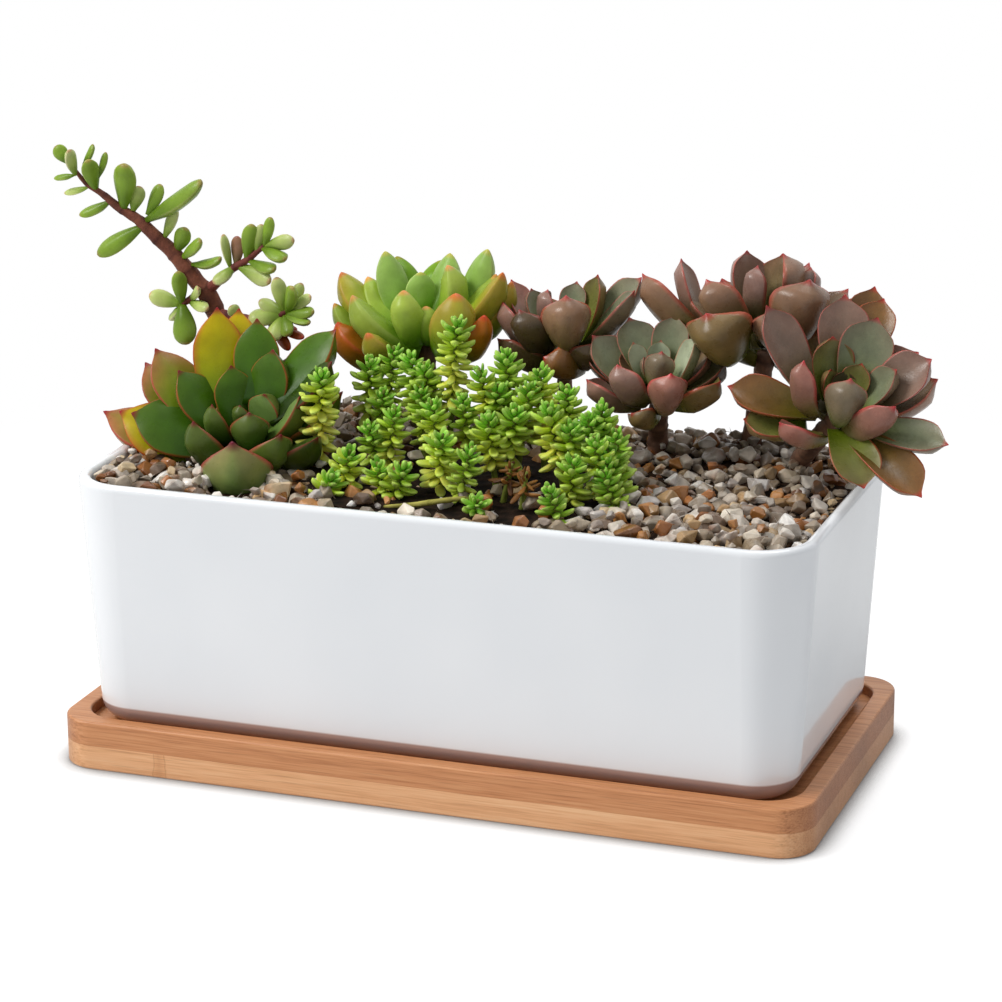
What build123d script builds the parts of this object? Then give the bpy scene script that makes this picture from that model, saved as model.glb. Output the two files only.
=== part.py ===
from build123d import *
import os
from math import cos, radians, sin, tan
from random import Random

# Planted ceramic trough on a bamboo tray. Millimetres, +Z up, +X along the trough,
# origin at the centre of the tray's underside.

# Glazed pot
pot_length = 165.0
pot_width = 79.7
pot_height = 56.0
pot_corner_radius = 13.0
pot_draft = 3.5
pot_wall = 2.8
pot_floor = 4.5
pot_base_round = 5.0
pot_rim_round = 1.2
cavity_floor_round = 4.0
foot_ring_width = 6.0
foot_recess_depth = 1.0
drain_hole_diameter = 10.0

# Bamboo tray, two plies glued face to face, the upper one routed for the pot
ply_thickness = 5.5
tray_rim_width = 4.1
recess_depth = 2.4
recess_end_gap = 1.7
recess_side_gap = 1.2
tray_corner_radius = 8.0
recess_corner_radius = 8.0
tray_edge_round = 0.6

# Drain mesh over the hole in the pot's floor
mesh_overlap = 4.0
mesh_thickness = 0.8
mesh_gap_size = 2.2
mesh_strand = 0.9
mesh_gaps_across = 5

# The planting plan below is drawn for a pot of this length and width, and grows with the pot
plan_length = 165.0
plan_width = 79.7

# Planting layers inside the pot
layer_gap = 0.3
soil_depth_below_rim = 10.5
gravel_depth_below_rim = 1.6
gravel_tilt = 3.4
stem_gap = 0.3

# Root plugs, square cells set into the potting mix under each plant
plug_top = 13.0
plug_bottom = 9.0
plug_depth = 20.0
plug_gap = 0.15

# Loose pebbles on the gravel
pebble_size = 4.6
pebble_height = 2.4
pebble_taper = 24.0
pebble_spacing = 6.6
pebble_tries = 900
pebble_edge_gap = 2.0
pebble_seed = 11

# Leaf whorls, from the lowest up: angles round the core, reach, width, neck, rise, curl, thickness, height
green_whorls = (
    ((166, 188), 32.0, 14.0, 4.0, 4.0, 8.0, 5.0, 0.0),
    ((198, 338), 20.5, 12.0, 4.0, 12.0, 14.0, 4.5, 0.4),
    ((242, 286, 322), 16.5, 13.5, 4.0, 20.0, 16.0, 6.0, 0.8),
    ((20, 48, 132, 160), 24.0, 12.5, 4.0, 22.0, 12.0, 5.0, 1.2),
    ((17, 39, 98, 121), 19.5, 12.0, 4.0, 43.0, 11.0, 5.8, 1.7),
    ((0, 62, 130, 178), 14.0, 10.5, 4.0, 38.0, 10.0, 5.0, 2.0),
    ((15, 87, 159, 231, 303), 8.0, 8.5, 3.5, 46.0, 8.0, 4.0, 2.6),
)
plump_whorls = (
    ((172, 190), 21.5, 9.5, 4.0, 14.0, 10.0, 6.5, 0.0),
    ((5, 338), 18.5, 8.5, 4.0, 30.0, 14.0, 6.5, 0.5),
    ((30, 60, 92, 124, 156), 17.0, 9.5, 4.0, 32.0, 12.0, 6.5, 1.0),
    ((200, 235, 320), 14.5, 9.5, 4.0, 26.0, 14.0, 6.5, 1.5),
    ((242, 300), 5.5, 7.5, 3.5, 50.0, 8.0, 5.0, 2.5),
    ((12, 84, 150), 6.5, 8.5, 3.5, 57.0, 8.0, 5.5, 3.5),
)
bronze_left_whorls = (
    ((15, 70, 125, 210, 285), 15.5, 9.0, 3.0, 20.0, 18.0, 3.0, 0.0),
    ((48, 108, 168, 228, 288, 348), 11.0, 8.5, 3.0, 40.0, 14.0, 3.0, 2.5),
    ((10, 100, 190, 280), 6.0, 6.5, 2.5, 58.0, 8.0, 3.0, 5.0),
)
bronze_small_whorls = (
    ((135, 190, 245, 300, 350), 15.5, 9.0, 3.0, 18.0, 18.0, 3.0, 0.0),
    ((20, 88, 130), 10.0, 8.5, 3.0, 34.0, 12.0, 3.0, 2.0),
    ((168, 228, 288), 11.0, 8.5, 3.0, 40.0, 14.0, 3.0, 2.5),
    ((10, 100, 190, 280), 6.0, 6.5, 2.5, 58.0, 8.0, 3.0, 5.0),
)
bronze_back_whorls = (
    ((187,), 28.0, 11.5, 4.0, 25.0, 11.0, 4.0, 0.0),
    ((15, 45, 75, 105, 135, 165), 21.0, 13.0, 4.0, 20.0, 20.0, 4.5, 0.5),
    ((242,), 18.5, 14.5, 4.0, 20.0, 18.0, 5.0, 1.0),
    ((212, 288, 324), 13.0, 12.0, 4.0, 34.0, 14.0, 4.5, 2.0),
    ((20, 60, 120, 160, 222), 10.5, 11.0, 3.5, 48.0, 12.0, 4.2, 3.5),
    ((40, 160, 280), 5.5, 8.0, 3.5, 57.0, 10.0, 4.0, 7.0),
)
bronze_front_whorls = (
    ((192, 308), 21.5, 10.5, 4.0, -6.0, -8.0, 4.0, -1.0),
    ((330,), 27.0, 10.5, 4.0, 1.0, -6.0, 3.8, 0.2),
    ((353,), 26.0, 10.0, 4.0, 8.0, 4.0, 3.8, 0.6),
    ((230,), 15.0, 9.0, 4.0, 4.0, 0.0, 4.0, 0.4),
    ((32, 62, 95, 130), 20.0, 12.0, 4.0, 16.0, 16.0, 4.5, 0.8),
    ((26, 92, 118, 166), 19.5, 11.0, 4.0, 36.0, 14.0, 4.5, 1.2),
    ((15, 75, 137, 203, 333), 10.5, 9.0, 3.5, 42.0, 12.0, 4.2, 2.0),
    ((72, 161, 287), 4.8, 7.0, 3.5, 54.0, 8.0, 4.0, 4.0),
)
leaf_widest_at = 0.55
leaf_shoulder_at = 0.8
leaf_edge_share = 0.25
bowl_overreach = 1.05
pointed_shoulder = 0.36
rounded_shoulder = 0.47
blunt_tip = 0.16

# Rosettes: foot on the plan, centre of the lowest whorl (on the plan, and height over the gravel's middle),
# lean of the axis, stem radius
green_foot = (-54.5, -3.0)
green_core = (-54.0, -5.0, 4.0)
green_lean = (0.08, -0.2, 1.0)
green_stem_radius = 3.0
green_skirt = 22.0
plump_foot = (-21.0, 23.5)
plump_core = (-21.5, 22.5, 23.0)
plump_lean = (0.02, -0.06, 1.0)
plump_stem_radius = 2.2
bronze_left_foot = (10.5, 25.0)
bronze_left_core = (11.0, 23.5, 22.0)
bronze_left_lean = (0.0, -0.05, 1.0)
bronze_small_foot = (32.5, 24.0)
bronze_small_core = (35.0, 16.0, 18.0)
bronze_small_lean = (0.1, -0.3, 1.0)
bronze_back_foot = (52.5, 28.5)
bronze_back_core = (56.0, 27.0, 25.0)
bronze_back_lean = (0.0, 0.1, 1.0)
bronze_front_foot = (66.0, 19.0)
bronze_front_core = (77.0, 8.0, 18.0)
bronze_front_lean = (0.28, -0.28, 1.0)
bronze_stem_radius = 1.8
knee_height = 2.0

# Elephant bush: main stem and three twigs as points of the plan with heights over the gravel's middle,
# leaves in pairs, a tuft at the end of the stem and of each twig
bush_foot = (-67.0, 25.0)
bush_stem = (
    (-74.5, 23.5, 28.5),
    (-79.5, 22.5, 35.0),
    (-83.0, 22.0, 39.0),
    (-87.0, 21.0, 43.0),
    (-90.5, 20.0, 46.0),
    (-95.0, 19.0, 49.0),
    (-98.5, 18.0, 52.0),
    (-101.5, 17.0, 54.5),
    (-103.5, 16.0, 57.5),
)
bush_bare_points = 2
bush_twigs = (
    ((-73.0, 24.0, 24.5), (-65.5, 21.0, 24.5), (-58.0, 19.0, 25.0), (-53.0, 18.0, 28.0)),
    ((-74.5, 23.5, 28.5), (-67.5, 21.0, 36.0), (-60.5, 20.0, 41.0)),
    ((-75.5, 23.3, 30.0), (-80.0, 21.0, 27.0)),
)
bush_stem_radius = 2.3
bush_tip_radius = 0.7
bush_twig_radius = 1.1
bush_leaf_length = 11.0
bush_leaf_width = 7.2
bush_leaf_thickness = 2.2
bush_leaf_waist_at = 0.45
bush_leaf_waist = 0.85
bush_leaf_widest_at = 0.7
bush_leaf_shrink = 0.86
bush_leaf_rise = 42.0
bush_tuft_whorls = (
    ((0, 72, 144, 216, 288), 7.6, 6.0, 2.2, 10.0, 16.0, 2.4, 0.0),
    ((36, 126, 216, 306), 5.2, 5.0, 2.0, 42.0, 12.0, 2.2, 0.8),
)

# Sedum clump: a low crown in the gravel and upright sprigs on it
sedum_crown_length = 74.0
sedum_crown_width = 40.0
sedum_crown_centre = (0.0, -10.0)
sedum_crown_proud = 0.8
sedum_seat_gap = 0.3
sedum_stem_radius = 0.8
sedum_leaves_round = 4
sedum_leaf_reach = 4.3
sedum_leaf_width = 2.5
sedum_leaf_neck = 1.4
sedum_leaf_rise = 30.0
sedum_leaf_thickness = 1.6
sedum_ring_pitch = 3.4
sedum_bare_stem = 3.0
# Sprigs: place on the plan, rings of leaves, lean along X and along Y in degrees
sedum_sprigs = (
    (-26.5, 3, 5, -2, 2),
    (-16.5, 3.5, 6, -2, 2),
    (-6.5, 2.5, 8, 0, 2),
    (4.5, 1.5, 7, 0, 2),
    (15.5, -0.5, 6, 2, 1),
    (-29, -8, 5, -2, 0),
    (-19.5, -7, 3, -3, 0),
    (-9.5, -7.5, 4, -1, 0),
    (0.5, -8, 4, 0, 0),
    (10, -9.5, 4, 0, 0),
    (19.5, -9.5, 4, 2, 0),
    (28.5, -6.5, 4, 4, 0),
    (-27, -18, 2, -5, -2),
    (-16.5, -16.5, 2, -3, -2),
    (-6.5, -17.5, 2, 0, -3),
    (3.5, -18.5, 3, 0, -3),
    (13.5, -19, 2, 2, -3),
    (23.5, -18.5, 2, 3, -2),
    (32.5, -15.5, 3, 6, -2),
    (-20.5, -26, 1, -3, -4),
    (-10, -27, 1, 0, -4),
    (9, -28.5, 1, 0, -4),
    (23, -28, 1, 2, -4),
)

# Levels and outlines worked out from the sizes above
tray_thickness = 2 * ply_thickness
recess_level = tray_thickness - recess_depth
rim_level = recess_level + pot_height
floor_level = recess_level + pot_floor
soil_level = rim_level - soil_depth_below_rim
gravel_level = rim_level - gravel_depth_below_rim
draft_slope = tan(radians(pot_draft))
base_length = pot_length - 2 * pot_height * draft_slope
base_width = pot_width - 2 * pot_height * draft_slope
recess_length = base_length + 2 * recess_end_gap
recess_width = base_width + 2 * recess_side_gap
tray_length = recess_length + 2 * tray_rim_width
tray_width = recess_width + 2 * tray_rim_width
mesh_side = drain_hole_diameter + 2 * mesh_overlap
layer_reach = 2 * soil_depth_below_rim
level_tolerance = 0.01
grow_along = pot_length / plan_length
grow_across = pot_width / plan_width
growth = min(grow_along, grow_across)
cell_top = growth * plug_top
cell_bottom = growth * plug_bottom
crown_length = grow_along * sedum_crown_length
crown_width = grow_across * sedum_crown_width
gravel_plane = Plane(
    origin=(0, 0, gravel_level),
    x_dir=(1, 0, 0),
    z_dir=(0, -sin(radians(gravel_tilt)), cos(radians(gravel_tilt))),
)

os.makedirs("parts", exist_ok=True)


def keep(part, name):
    """Labels a finished piece and writes it under its own name."""
    part.label = name
    export_step(part, f"parts/{name}.step")


def gravel_height(y):
    """Level of the sloping gravel at a distance y from the pot's middle."""
    return gravel_level + y * tan(radians(gravel_tilt))


def planted(x, y, height=0.0):
    """A point of the planting plan in the pot, at a height over the gravel's middle."""
    return grow_along * x, grow_across * y, gravel_level + growth * height


def fill_outline(level):
    """Length, width and corner radius of the planting layers at a level inside the pot."""
    inset = pot_wall + layer_gap + (rim_level - level) * draft_slope
    return pot_length - 2 * inset, pot_width - 2 * inset, pot_corner_radius - inset


# Tray, lower ply
with BuildPart() as tray_bottom_ply:
    with BuildSketch():
        RectangleRounded(tray_length, tray_width, tray_corner_radius)
    extrude(amount=ply_thickness)
    fillet(tray_bottom_ply.faces().sort_by(Axis.Z)[0].edges(), tray_edge_round)
keep(tray_bottom_ply.part, "tray_bottom_ply")

# Tray, upper ply with the routed recess that the pot stands in
with BuildPart() as tray_top_ply:
    with BuildSketch(Plane.XY.offset(ply_thickness)):
        RectangleRounded(tray_length, tray_width, tray_corner_radius)
    extrude(amount=ply_thickness)
    with BuildSketch(Plane.XY.offset(tray_thickness)):
        RectangleRounded(recess_length, recess_width, recess_corner_radius)
    extrude(amount=-recess_depth, mode=Mode.SUBTRACT)
    fillet(tray_top_ply.edges().group_by(Axis.Z)[-1], tray_edge_round)
keep(tray_top_ply.part, "tray_top_ply")

# Pot, a drafted shell with a rounded base, a foot ring and a drain hole
with BuildPart() as pot:
    with BuildSketch(Plane.XY.offset(rim_level)):
        RectangleRounded(pot_length, pot_width, pot_corner_radius)
    extrude(amount=-pot_height, taper=pot_draft)
    fillet(pot.faces().sort_by(Axis.Z)[0].edges(), pot_base_round)
    with BuildSketch(Plane.XY.offset(rim_level)):
        RectangleRounded(pot_length - 2 * pot_wall, pot_width - 2 * pot_wall, pot_corner_radius - pot_wall)
    extrude(amount=-(pot_height - pot_floor), taper=pot_draft, mode=Mode.SUBTRACT)
    near_floor = (floor_level - level_tolerance, floor_level + level_tolerance)
    fillet(pot.edges().filter_by_position(Axis.Z, *near_floor), cavity_floor_round)
    fillet(pot.edges().group_by(Axis.Z)[-1], pot_rim_round)
    foot = pot_base_round + foot_ring_width
    with BuildSketch(Plane.XY.offset(recess_level)):
        RectangleRounded(base_length - 2 * foot, base_width - 2 * foot, pot_corner_radius - pot_base_round)
    extrude(amount=foot_recess_depth, mode=Mode.SUBTRACT)
    with Locations((0, 0, floor_level)):
        Hole(drain_hole_diameter / 2, depth=pot_floor)
keep(pot.part, "pot")

# Drain mesh, a square net lying on the pot's floor
with BuildPart() as drain_mesh:
    with BuildSketch(Plane.XY.offset(floor_level)):
        Rectangle(mesh_side, mesh_side)
        pitch = mesh_gap_size + mesh_strand
        with GridLocations(pitch, pitch, mesh_gaps_across, mesh_gaps_across):
            Rectangle(mesh_gap_size, mesh_gap_size, mode=Mode.SUBTRACT)
    extrude(amount=mesh_thickness)
keep(drain_mesh.part, "drain_mesh")

plant_feet = {
    "green_echeveria": (green_foot, green_stem_radius),
    "plump_rosette": (plump_foot, plump_stem_radius),
    "bronze_rosette_left": (bronze_left_foot, bronze_stem_radius),
    "bronze_rosette_small": (bronze_small_foot, bronze_stem_radius),
    "bronze_rosette_back": (bronze_back_foot, bronze_stem_radius),
    "bronze_rosette_front": (bronze_front_foot, bronze_stem_radius),
    "elephant_bush": (bush_foot, bush_stem_radius),
    "sedum": (sedum_crown_centre, 0.0),
}
plant_feet = {plant: (planted(*foot)[:2], radius) for plant, (foot, radius) in plant_feet.items()}
crown_centre = plant_feet["sedum"][0]

# Potting mix, filling the pot up to the gravel, with a cell for each root plug
with BuildPart() as potting_mix:
    with BuildSketch(Plane.XY.offset(soil_level)):
        RectangleRounded(*fill_outline(soil_level))
    extrude(amount=floor_level - soil_level, taper=pot_draft)
    fillet(potting_mix.faces().sort_by(Axis.Z)[0].edges(), cavity_floor_round)
    with BuildSketch(Plane.XY.offset(floor_level)):
        Rectangle(mesh_side + 2 * layer_gap, mesh_side + 2 * layer_gap)
    extrude(amount=mesh_thickness, mode=Mode.SUBTRACT)
    for place, _ in plant_feet.values():
        with BuildSketch(Plane.XY.offset(soil_level)):
            with Locations(place):
                Rectangle(cell_top + 2 * plug_gap, cell_top + 2 * plug_gap)
        with BuildSketch(Plane.XY.offset(soil_level - plug_depth)):
            with Locations(place):
                Rectangle(cell_bottom + 2 * plug_gap, cell_bottom + 2 * plug_gap)
        loft(ruled=True, mode=Mode.SUBTRACT)
keep(potting_mix.part, "potting_mix")

# Root plugs
for plant, (place, _) in plant_feet.items():
    with BuildPart() as root_plug:
        with BuildSketch(Plane.XY.offset(soil_level)):
            with Locations(place):
                Rectangle(cell_top, cell_top)
        with BuildSketch(Plane.XY.offset(soil_level - plug_depth)):
            with Locations(place):
                Rectangle(cell_bottom, cell_bottom)
        loft(ruled=True)
    keep(root_plug.part, f"{plant}_root_plug")

# Gravel bed, sloping up to the back, with room for the stems and the sedum's crown
with BuildPart() as gravel_bed:
    with BuildSketch(Plane.XY.offset(soil_level)):
        RectangleRounded(*fill_outline(soil_level))
    extrude(amount=layer_reach, taper=-pot_draft)
    split(bisect_by=gravel_plane, keep=Keep.BOTTOM)
    for place, stem_radius in plant_feet.values():
        if stem_radius > 0:
            with Locations((*place, soil_level)):
                Cylinder(
                    stem_radius + stem_gap,
                    layer_reach,
                    align=(Align.CENTER, Align.CENTER, Align.MIN),
                    mode=Mode.SUBTRACT,
                )
    with BuildSketch(Plane.XY.offset(soil_level)):
        with Locations(crown_centre):
            SlotOverall(crown_length + 2 * stem_gap, crown_width + 2 * stem_gap)
    extrude(amount=layer_reach, mode=Mode.SUBTRACT)
keep(gravel_bed.part, "gravel_bed")

# Pebbles lying on the gravel, in three colours, clear of the plants' feet
draws = Random(pebble_seed)
bed_length, bed_width, _ = fill_outline(gravel_level)
pebble_reach = pebble_size / 2
clear_of = [(*place, stem_radius + pebble_size) for place, stem_radius in plant_feet.values()]
clear_of.append((*plant_feet["green_echeveria"][0], green_skirt))
pebble_places = []
for _ in range(pebble_tries):
    x = draws.uniform(-1, 1) * (bed_length / 2 - pebble_reach - pebble_edge_gap)
    y = draws.uniform(-1, 1) * (bed_width / 2 - pebble_reach - pebble_edge_gap)
    corner_x = abs(x) - (bed_length / 2 - pot_corner_radius)
    corner_y = abs(y) - (bed_width / 2 - pot_corner_radius)
    in_corner = corner_x > 0 and corner_y > 0
    crown_x = abs(x - crown_centre[0]) - crown_length / 2
    crown_y = abs(y - crown_centre[1]) - crown_width / 2
    on_crown = crown_x < pebble_size and crown_y < pebble_size
    near_stem = any((x - a) ** 2 + (y - b) ** 2 < r**2 for a, b, r in clear_of)
    crowded = any((x - a) ** 2 + (y - b) ** 2 < pebble_spacing**2 for a, b in pebble_places)
    if not (in_corner or on_crown or near_stem or crowded):
        pebble_places.append((x, y))

pebble_colours = ("white", "tan", "grey")
for index, colour in enumerate(pebble_colours):
    with BuildPart() as pebble:
        with BuildSketch(Plane.XY.offset(pebble_height / 2)) as girdle:
            RegularPolygon(pebble_reach, 5 + index)
        extrude(amount=pebble_height / 2, taper=pebble_taper)
        extrude(girdle.sketch, amount=-pebble_height / 2, taper=pebble_taper)
    group = []
    for x, y in pebble_places[index :: len(pebble_colours)]:
        turned = Location((x, y, 0), (0, 0, draws.uniform(0, 360)))
        group.append(pebble.part.solid().moved(gravel_plane.location * turned))
    keep(Compound(group), f"pebbles_{colour}")


def leaf_whorl(angles, reach, width, neck, rise, curl, thickness, height, shoulder, tip_width):
    """One ring of leaves: a bowl that thins to its edge, cut to the leaves' outline from above."""
    sizes = (reach, width, neck, thickness, height)
    reach, width, neck, thickness, height = (growth * size for size in sizes)
    widest = leaf_widest_at * reach
    shoulder_x = leaf_shoulder_at * reach
    shoulder_y = shoulder * width
    tip_y = tip_width * width
    with BuildSketch() as leaf:
        with BuildLine():
            upper = ThreePointArc((widest, width / 2), (shoulder_x, shoulder_y), (reach, tip_y))
            lower = ThreePointArc((widest, -width / 2), (shoulder_x, -shoulder_y), (reach, -tip_y))
            Polyline(upper @ 0, (0, neck / 2), (0, -neck / 2), lower @ 0)
            if tip_width > 0:
                Line(upper @ 1, lower @ 1)
        make_face()
    with BuildSketch() as ring:
        for angle in angles:
            add(leaf.sketch, rotation=angle)
    bend_up = height + widest * tan(radians(rise))
    edge = bowl_overreach * reach
    edge_up = bend_up + (edge - widest) * tan(radians(rise + curl))
    edge_thickness = leaf_edge_share * thickness
    bowl_depth = abs(bend_up) + abs(edge_up) + thickness
    with BuildPart() as whorl:
        with BuildSketch(Plane.XZ):
            with BuildLine():
                Polyline(
                    (0, height),
                    (widest, bend_up),
                    (edge, edge_up),
                    (edge, edge_up - edge_thickness),
                    (widest, bend_up - thickness),
                    (0, height - thickness / 2),
                    close=True,
                )
            make_face()
        revolve(axis=Axis.Z)
        extrude(ring.sketch, amount=bowl_depth, both=True, mode=Mode.INTERSECT)
    return whorl.part


def rosette(name, core, lean, whorls, shoulder, tip_width):
    """A rosette on its stem: straight up through the gravel, a bend, then leaning to the leaves."""
    foot, stem_radius = plant_feet[name]
    core = planted(*core)
    rings = [leaf_whorl(*whorl, shoulder, tip_width) for whorl in whorls]
    core_plane = Plane(origin=core, x_dir=(1, 0, -lean[0] / lean[2]), z_dir=lean)
    crown_height = growth * (whorls[-1][-1] + whorls[-1][1] / 2)
    knee = (*foot, gravel_height(foot[1]) + knee_height)
    with BuildPart() as plant:
        with BuildSketch(Plane.XY.offset(soil_level)):
            with Locations(foot):
                Circle(stem_radius)
        extrude(amount=knee[2] - soil_level)
        with Locations(knee):
            Sphere(stem_radius)
        reach = Vector(*core) - Vector(*knee)
        with BuildSketch(Plane(origin=knee, z_dir=reach)):
            Circle(stem_radius)
        extrude(amount=reach.length)
        with Locations(core_plane.location):
            Cone(stem_radius, stem_radius / 2, crown_height, align=(Align.CENTER, Align.CENTER, Align.MIN))
            for ring in rings:
                add(ring)
    keep(plant.part, name)


rosette("green_echeveria", green_core, green_lean, green_whorls, pointed_shoulder, 0)
rosette("plump_rosette", plump_core, plump_lean, plump_whorls, rounded_shoulder, blunt_tip)
for side, core, lean, whorls in (
    ("left", bronze_left_core, bronze_left_lean, bronze_left_whorls),
    ("small", bronze_small_core, bronze_small_lean, bronze_small_whorls),
    ("back", bronze_back_core, bronze_back_lean, bronze_back_whorls),
    ("front", bronze_front_core, bronze_front_lean, bronze_front_whorls),
):
    rosette(f"bronze_rosette_{side}", core, lean, whorls, pointed_shoulder, 0)


def bush_leaf(scale):
    """A thick egg-shaped leaf, narrow at its stalk, lying along +X from the origin."""
    length = bush_leaf_length * scale
    half_width = bush_leaf_width * scale / 2
    waist = (bush_leaf_waist_at * length, bush_leaf_waist * half_width)
    widest = bush_leaf_widest_at * length
    with BuildPart() as leaf:
        with BuildSketch():
            with BuildLine():
                upper = ThreePointArc((0, 0), waist, (widest, half_width))
                end = ThreePointArc(upper @ 1, (length, 0), (widest, -half_width))
                ThreePointArc(end @ 1, (waist[0], -waist[1]), (0, 0))
            make_face()
        extrude(amount=bush_leaf_thickness * scale / 2, both=True)
    return leaf.part


def leaf_pairs(points, first):
    """Opposite leaves at the points of a stem, each pair a quarter turn on and a little smaller."""
    leaves = []
    for index in range(first, len(points)):
        here = Vector(*points[index])
        along = (here - Vector(*points[index - 1])).normalized()
        side = along.cross(Vector(0, 0, 1)).normalized()
        over = side.cross(along)
        lift = radians(bush_leaf_rise)
        leaf = bush_leaf(growth * bush_leaf_shrink ** (index - first))
        for turn in (0, 180):
            angle = radians(90 * index + turn)
            out = side * cos(angle) + over * sin(angle)
            pointing = out * cos(lift) + along * sin(lift)
            place = Plane(origin=here, x_dir=pointing, z_dir=along * cos(lift) - out * sin(lift))
            leaves.append(leaf.moved(place.location))
    return leaves


def tube(points, radius, tip_radius):
    """Straight runs between the points of a stem, each thinner than the last, with a ball at each bend."""
    runs = len(points) - 1
    with BuildPart() as stem:
        for index, (start, end) in enumerate(zip(points, points[1:])):
            girth = radius + (tip_radius - radius) * index / max(runs - 1, 1)
            run = Vector(*end) - Vector(*start)
            with BuildSketch(Plane(origin=start, z_dir=run)):
                Circle(girth)
            extrude(amount=run.length)
            with Locations(end):
                Sphere(girth)
    return stem.part


bush_place, _ = plant_feet["elephant_bush"]
bush_knee = (*bush_place, gravel_height(bush_place[1]) + knee_height)
bush_stem_points = ((*bush_place, soil_level), bush_knee, *(planted(*point) for point in bush_stem))
bush_twig_points = [[planted(*point) for point in twig] for twig in bush_twigs]
bush_tuft = [leaf_whorl(*whorl, rounded_shoulder, blunt_tip) for whorl in bush_tuft_whorls]
bush_tufts = []
for branch in (bush_stem_points, *bush_twig_points):
    branch_end = Plane(origin=branch[-1], z_dir=Vector(*branch[-1]) - Vector(*branch[-2]))
    bush_tufts += [ring.moved(branch_end.location) for ring in bush_tuft]
with BuildPart() as elephant_bush:
    add(tube(bush_stem_points, bush_stem_radius, bush_tip_radius))
    add([tube(twig, bush_twig_radius, bush_tip_radius) for twig in bush_twig_points])
    add(bush_tufts)
    add(leaf_pairs(bush_stem_points[:-1], 2 + bush_bare_points))
keep(elephant_bush.part, "elephant_bush")

# Sedum crown, standing on the potting mix and just proud of the gravel
crown_plane = gravel_plane.offset(sedum_crown_proud)
with BuildPart() as sedum_crown:
    with BuildSketch(Plane.XY.offset(soil_level)):
        with Locations(crown_centre):
            SlotOverall(crown_length, crown_width)
    extrude(amount=layer_reach)
    split(bisect_by=crown_plane, keep=Keep.BOTTOM)
keep(sedum_crown.part, "sedum_crown")

# Sedum sprigs: rings of small leaves up a thin stem
with BuildSketch() as sedum_leaf:
    with BuildLine():
        Polyline(
            (0, sedum_leaf_neck / 2),
            (leaf_widest_at * sedum_leaf_reach, sedum_leaf_width / 2),
            (sedum_leaf_reach, 0),
            (leaf_widest_at * sedum_leaf_reach, -sedum_leaf_width / 2),
            (0, -sedum_leaf_neck / 2),
            close=True,
        )
    make_face()
with BuildSketch() as sedum_outline:
    for leaf_number in range(sedum_leaves_round):
        add(sedum_leaf.sketch, rotation=360 / sedum_leaves_round * leaf_number)
sedum_leaf_lift = sedum_leaf_reach * tan(radians(sedum_leaf_rise))
with BuildPart() as sedum_ring:
    with BuildSketch(Plane.XZ):
        with BuildLine():
            Polyline(
                (0, 0),
                (sedum_leaf_reach, sedum_leaf_lift),
                (sedum_leaf_reach, sedum_leaf_lift + sedum_leaf_thickness),
                (0, sedum_leaf_thickness),
                close=True,
            )
        make_face()
    revolve(axis=Axis.Z)
    extrude(sedum_outline.sketch, amount=sedum_leaf_lift + sedum_leaf_thickness, mode=Mode.INTERSECT)


def sedum_sprig(rings):
    """One sprig standing on the origin, with its leaves above a bare stem."""
    top = sedum_bare_stem + rings * sedum_ring_pitch
    half_step = 180 / sedum_leaves_round
    with BuildPart() as sprig:
        Cylinder(sedum_stem_radius, top, align=(Align.CENTER, Align.CENTER, Align.MIN))
        places = [
            Location((0, 0, sedum_bare_stem + ring * sedum_ring_pitch), (0, 0, half_step * ring))
            for ring in range(rings)
        ]
        with Locations(*places):
            add(sedum_ring.part)
    return sprig.part.solid()


ring_counts = sorted({sprig[2] for sprig in sedum_sprigs})
sprig_kinds = {rings: sedum_sprig(rings).scale(growth) for rings in ring_counts}
sprigs = []
for x, y, rings, lean_x, lean_y in sedum_sprigs:
    sprig_x, sprig_y, _ = planted(x, y)
    seat = gravel_height(sprig_y) + sedum_crown_proud + sedum_seat_gap
    sprigs.append(sprig_kinds[rings].moved(Location((sprig_x, sprig_y, seat), (-lean_y, lean_x, 0))))
keep(Compound(sprigs), "sedum_sprigs")
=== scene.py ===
from collections import namedtuple
from math import copysign, cos, hypot, pi, radians, sin
from random import Random

import bmesh
import bpy
from mathutils import Matrix, Vector, noise


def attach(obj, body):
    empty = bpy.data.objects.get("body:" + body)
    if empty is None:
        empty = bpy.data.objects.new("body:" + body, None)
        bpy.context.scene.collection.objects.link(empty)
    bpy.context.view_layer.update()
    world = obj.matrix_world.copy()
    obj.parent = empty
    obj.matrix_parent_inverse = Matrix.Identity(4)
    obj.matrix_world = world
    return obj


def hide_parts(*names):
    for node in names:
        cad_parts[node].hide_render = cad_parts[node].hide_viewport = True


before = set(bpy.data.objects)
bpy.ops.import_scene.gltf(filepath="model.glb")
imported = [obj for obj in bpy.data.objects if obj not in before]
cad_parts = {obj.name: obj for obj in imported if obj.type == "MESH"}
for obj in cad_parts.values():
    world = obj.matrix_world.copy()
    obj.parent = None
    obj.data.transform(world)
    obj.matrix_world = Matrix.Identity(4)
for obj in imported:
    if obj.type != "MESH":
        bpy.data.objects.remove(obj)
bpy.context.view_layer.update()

scene = bpy.context.scene

# Planted ceramic trough on a bamboo tray: the looks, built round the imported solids.
# Sizes in this script are millimetres until a piece is made; pixels are those of a 1002 by 1002 image.

MM = 0.001
SEED = 7
# Camera of the photograph: degrees, millimetres and pixels
IMAGE_SIZE = 1002
CAMERA_AZIMUTH = 19.704
CAMERA_ELEVATION = 17.125
CAMERA_ROLL = -0.34
CAMERA_DISTANCE = 745.4
CAMERA_TARGET = Vector((3.054, 3.448, 56.084))
FOCAL_PIXELS = 3411.3
SENSOR_WIDTH = 36.0
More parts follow.
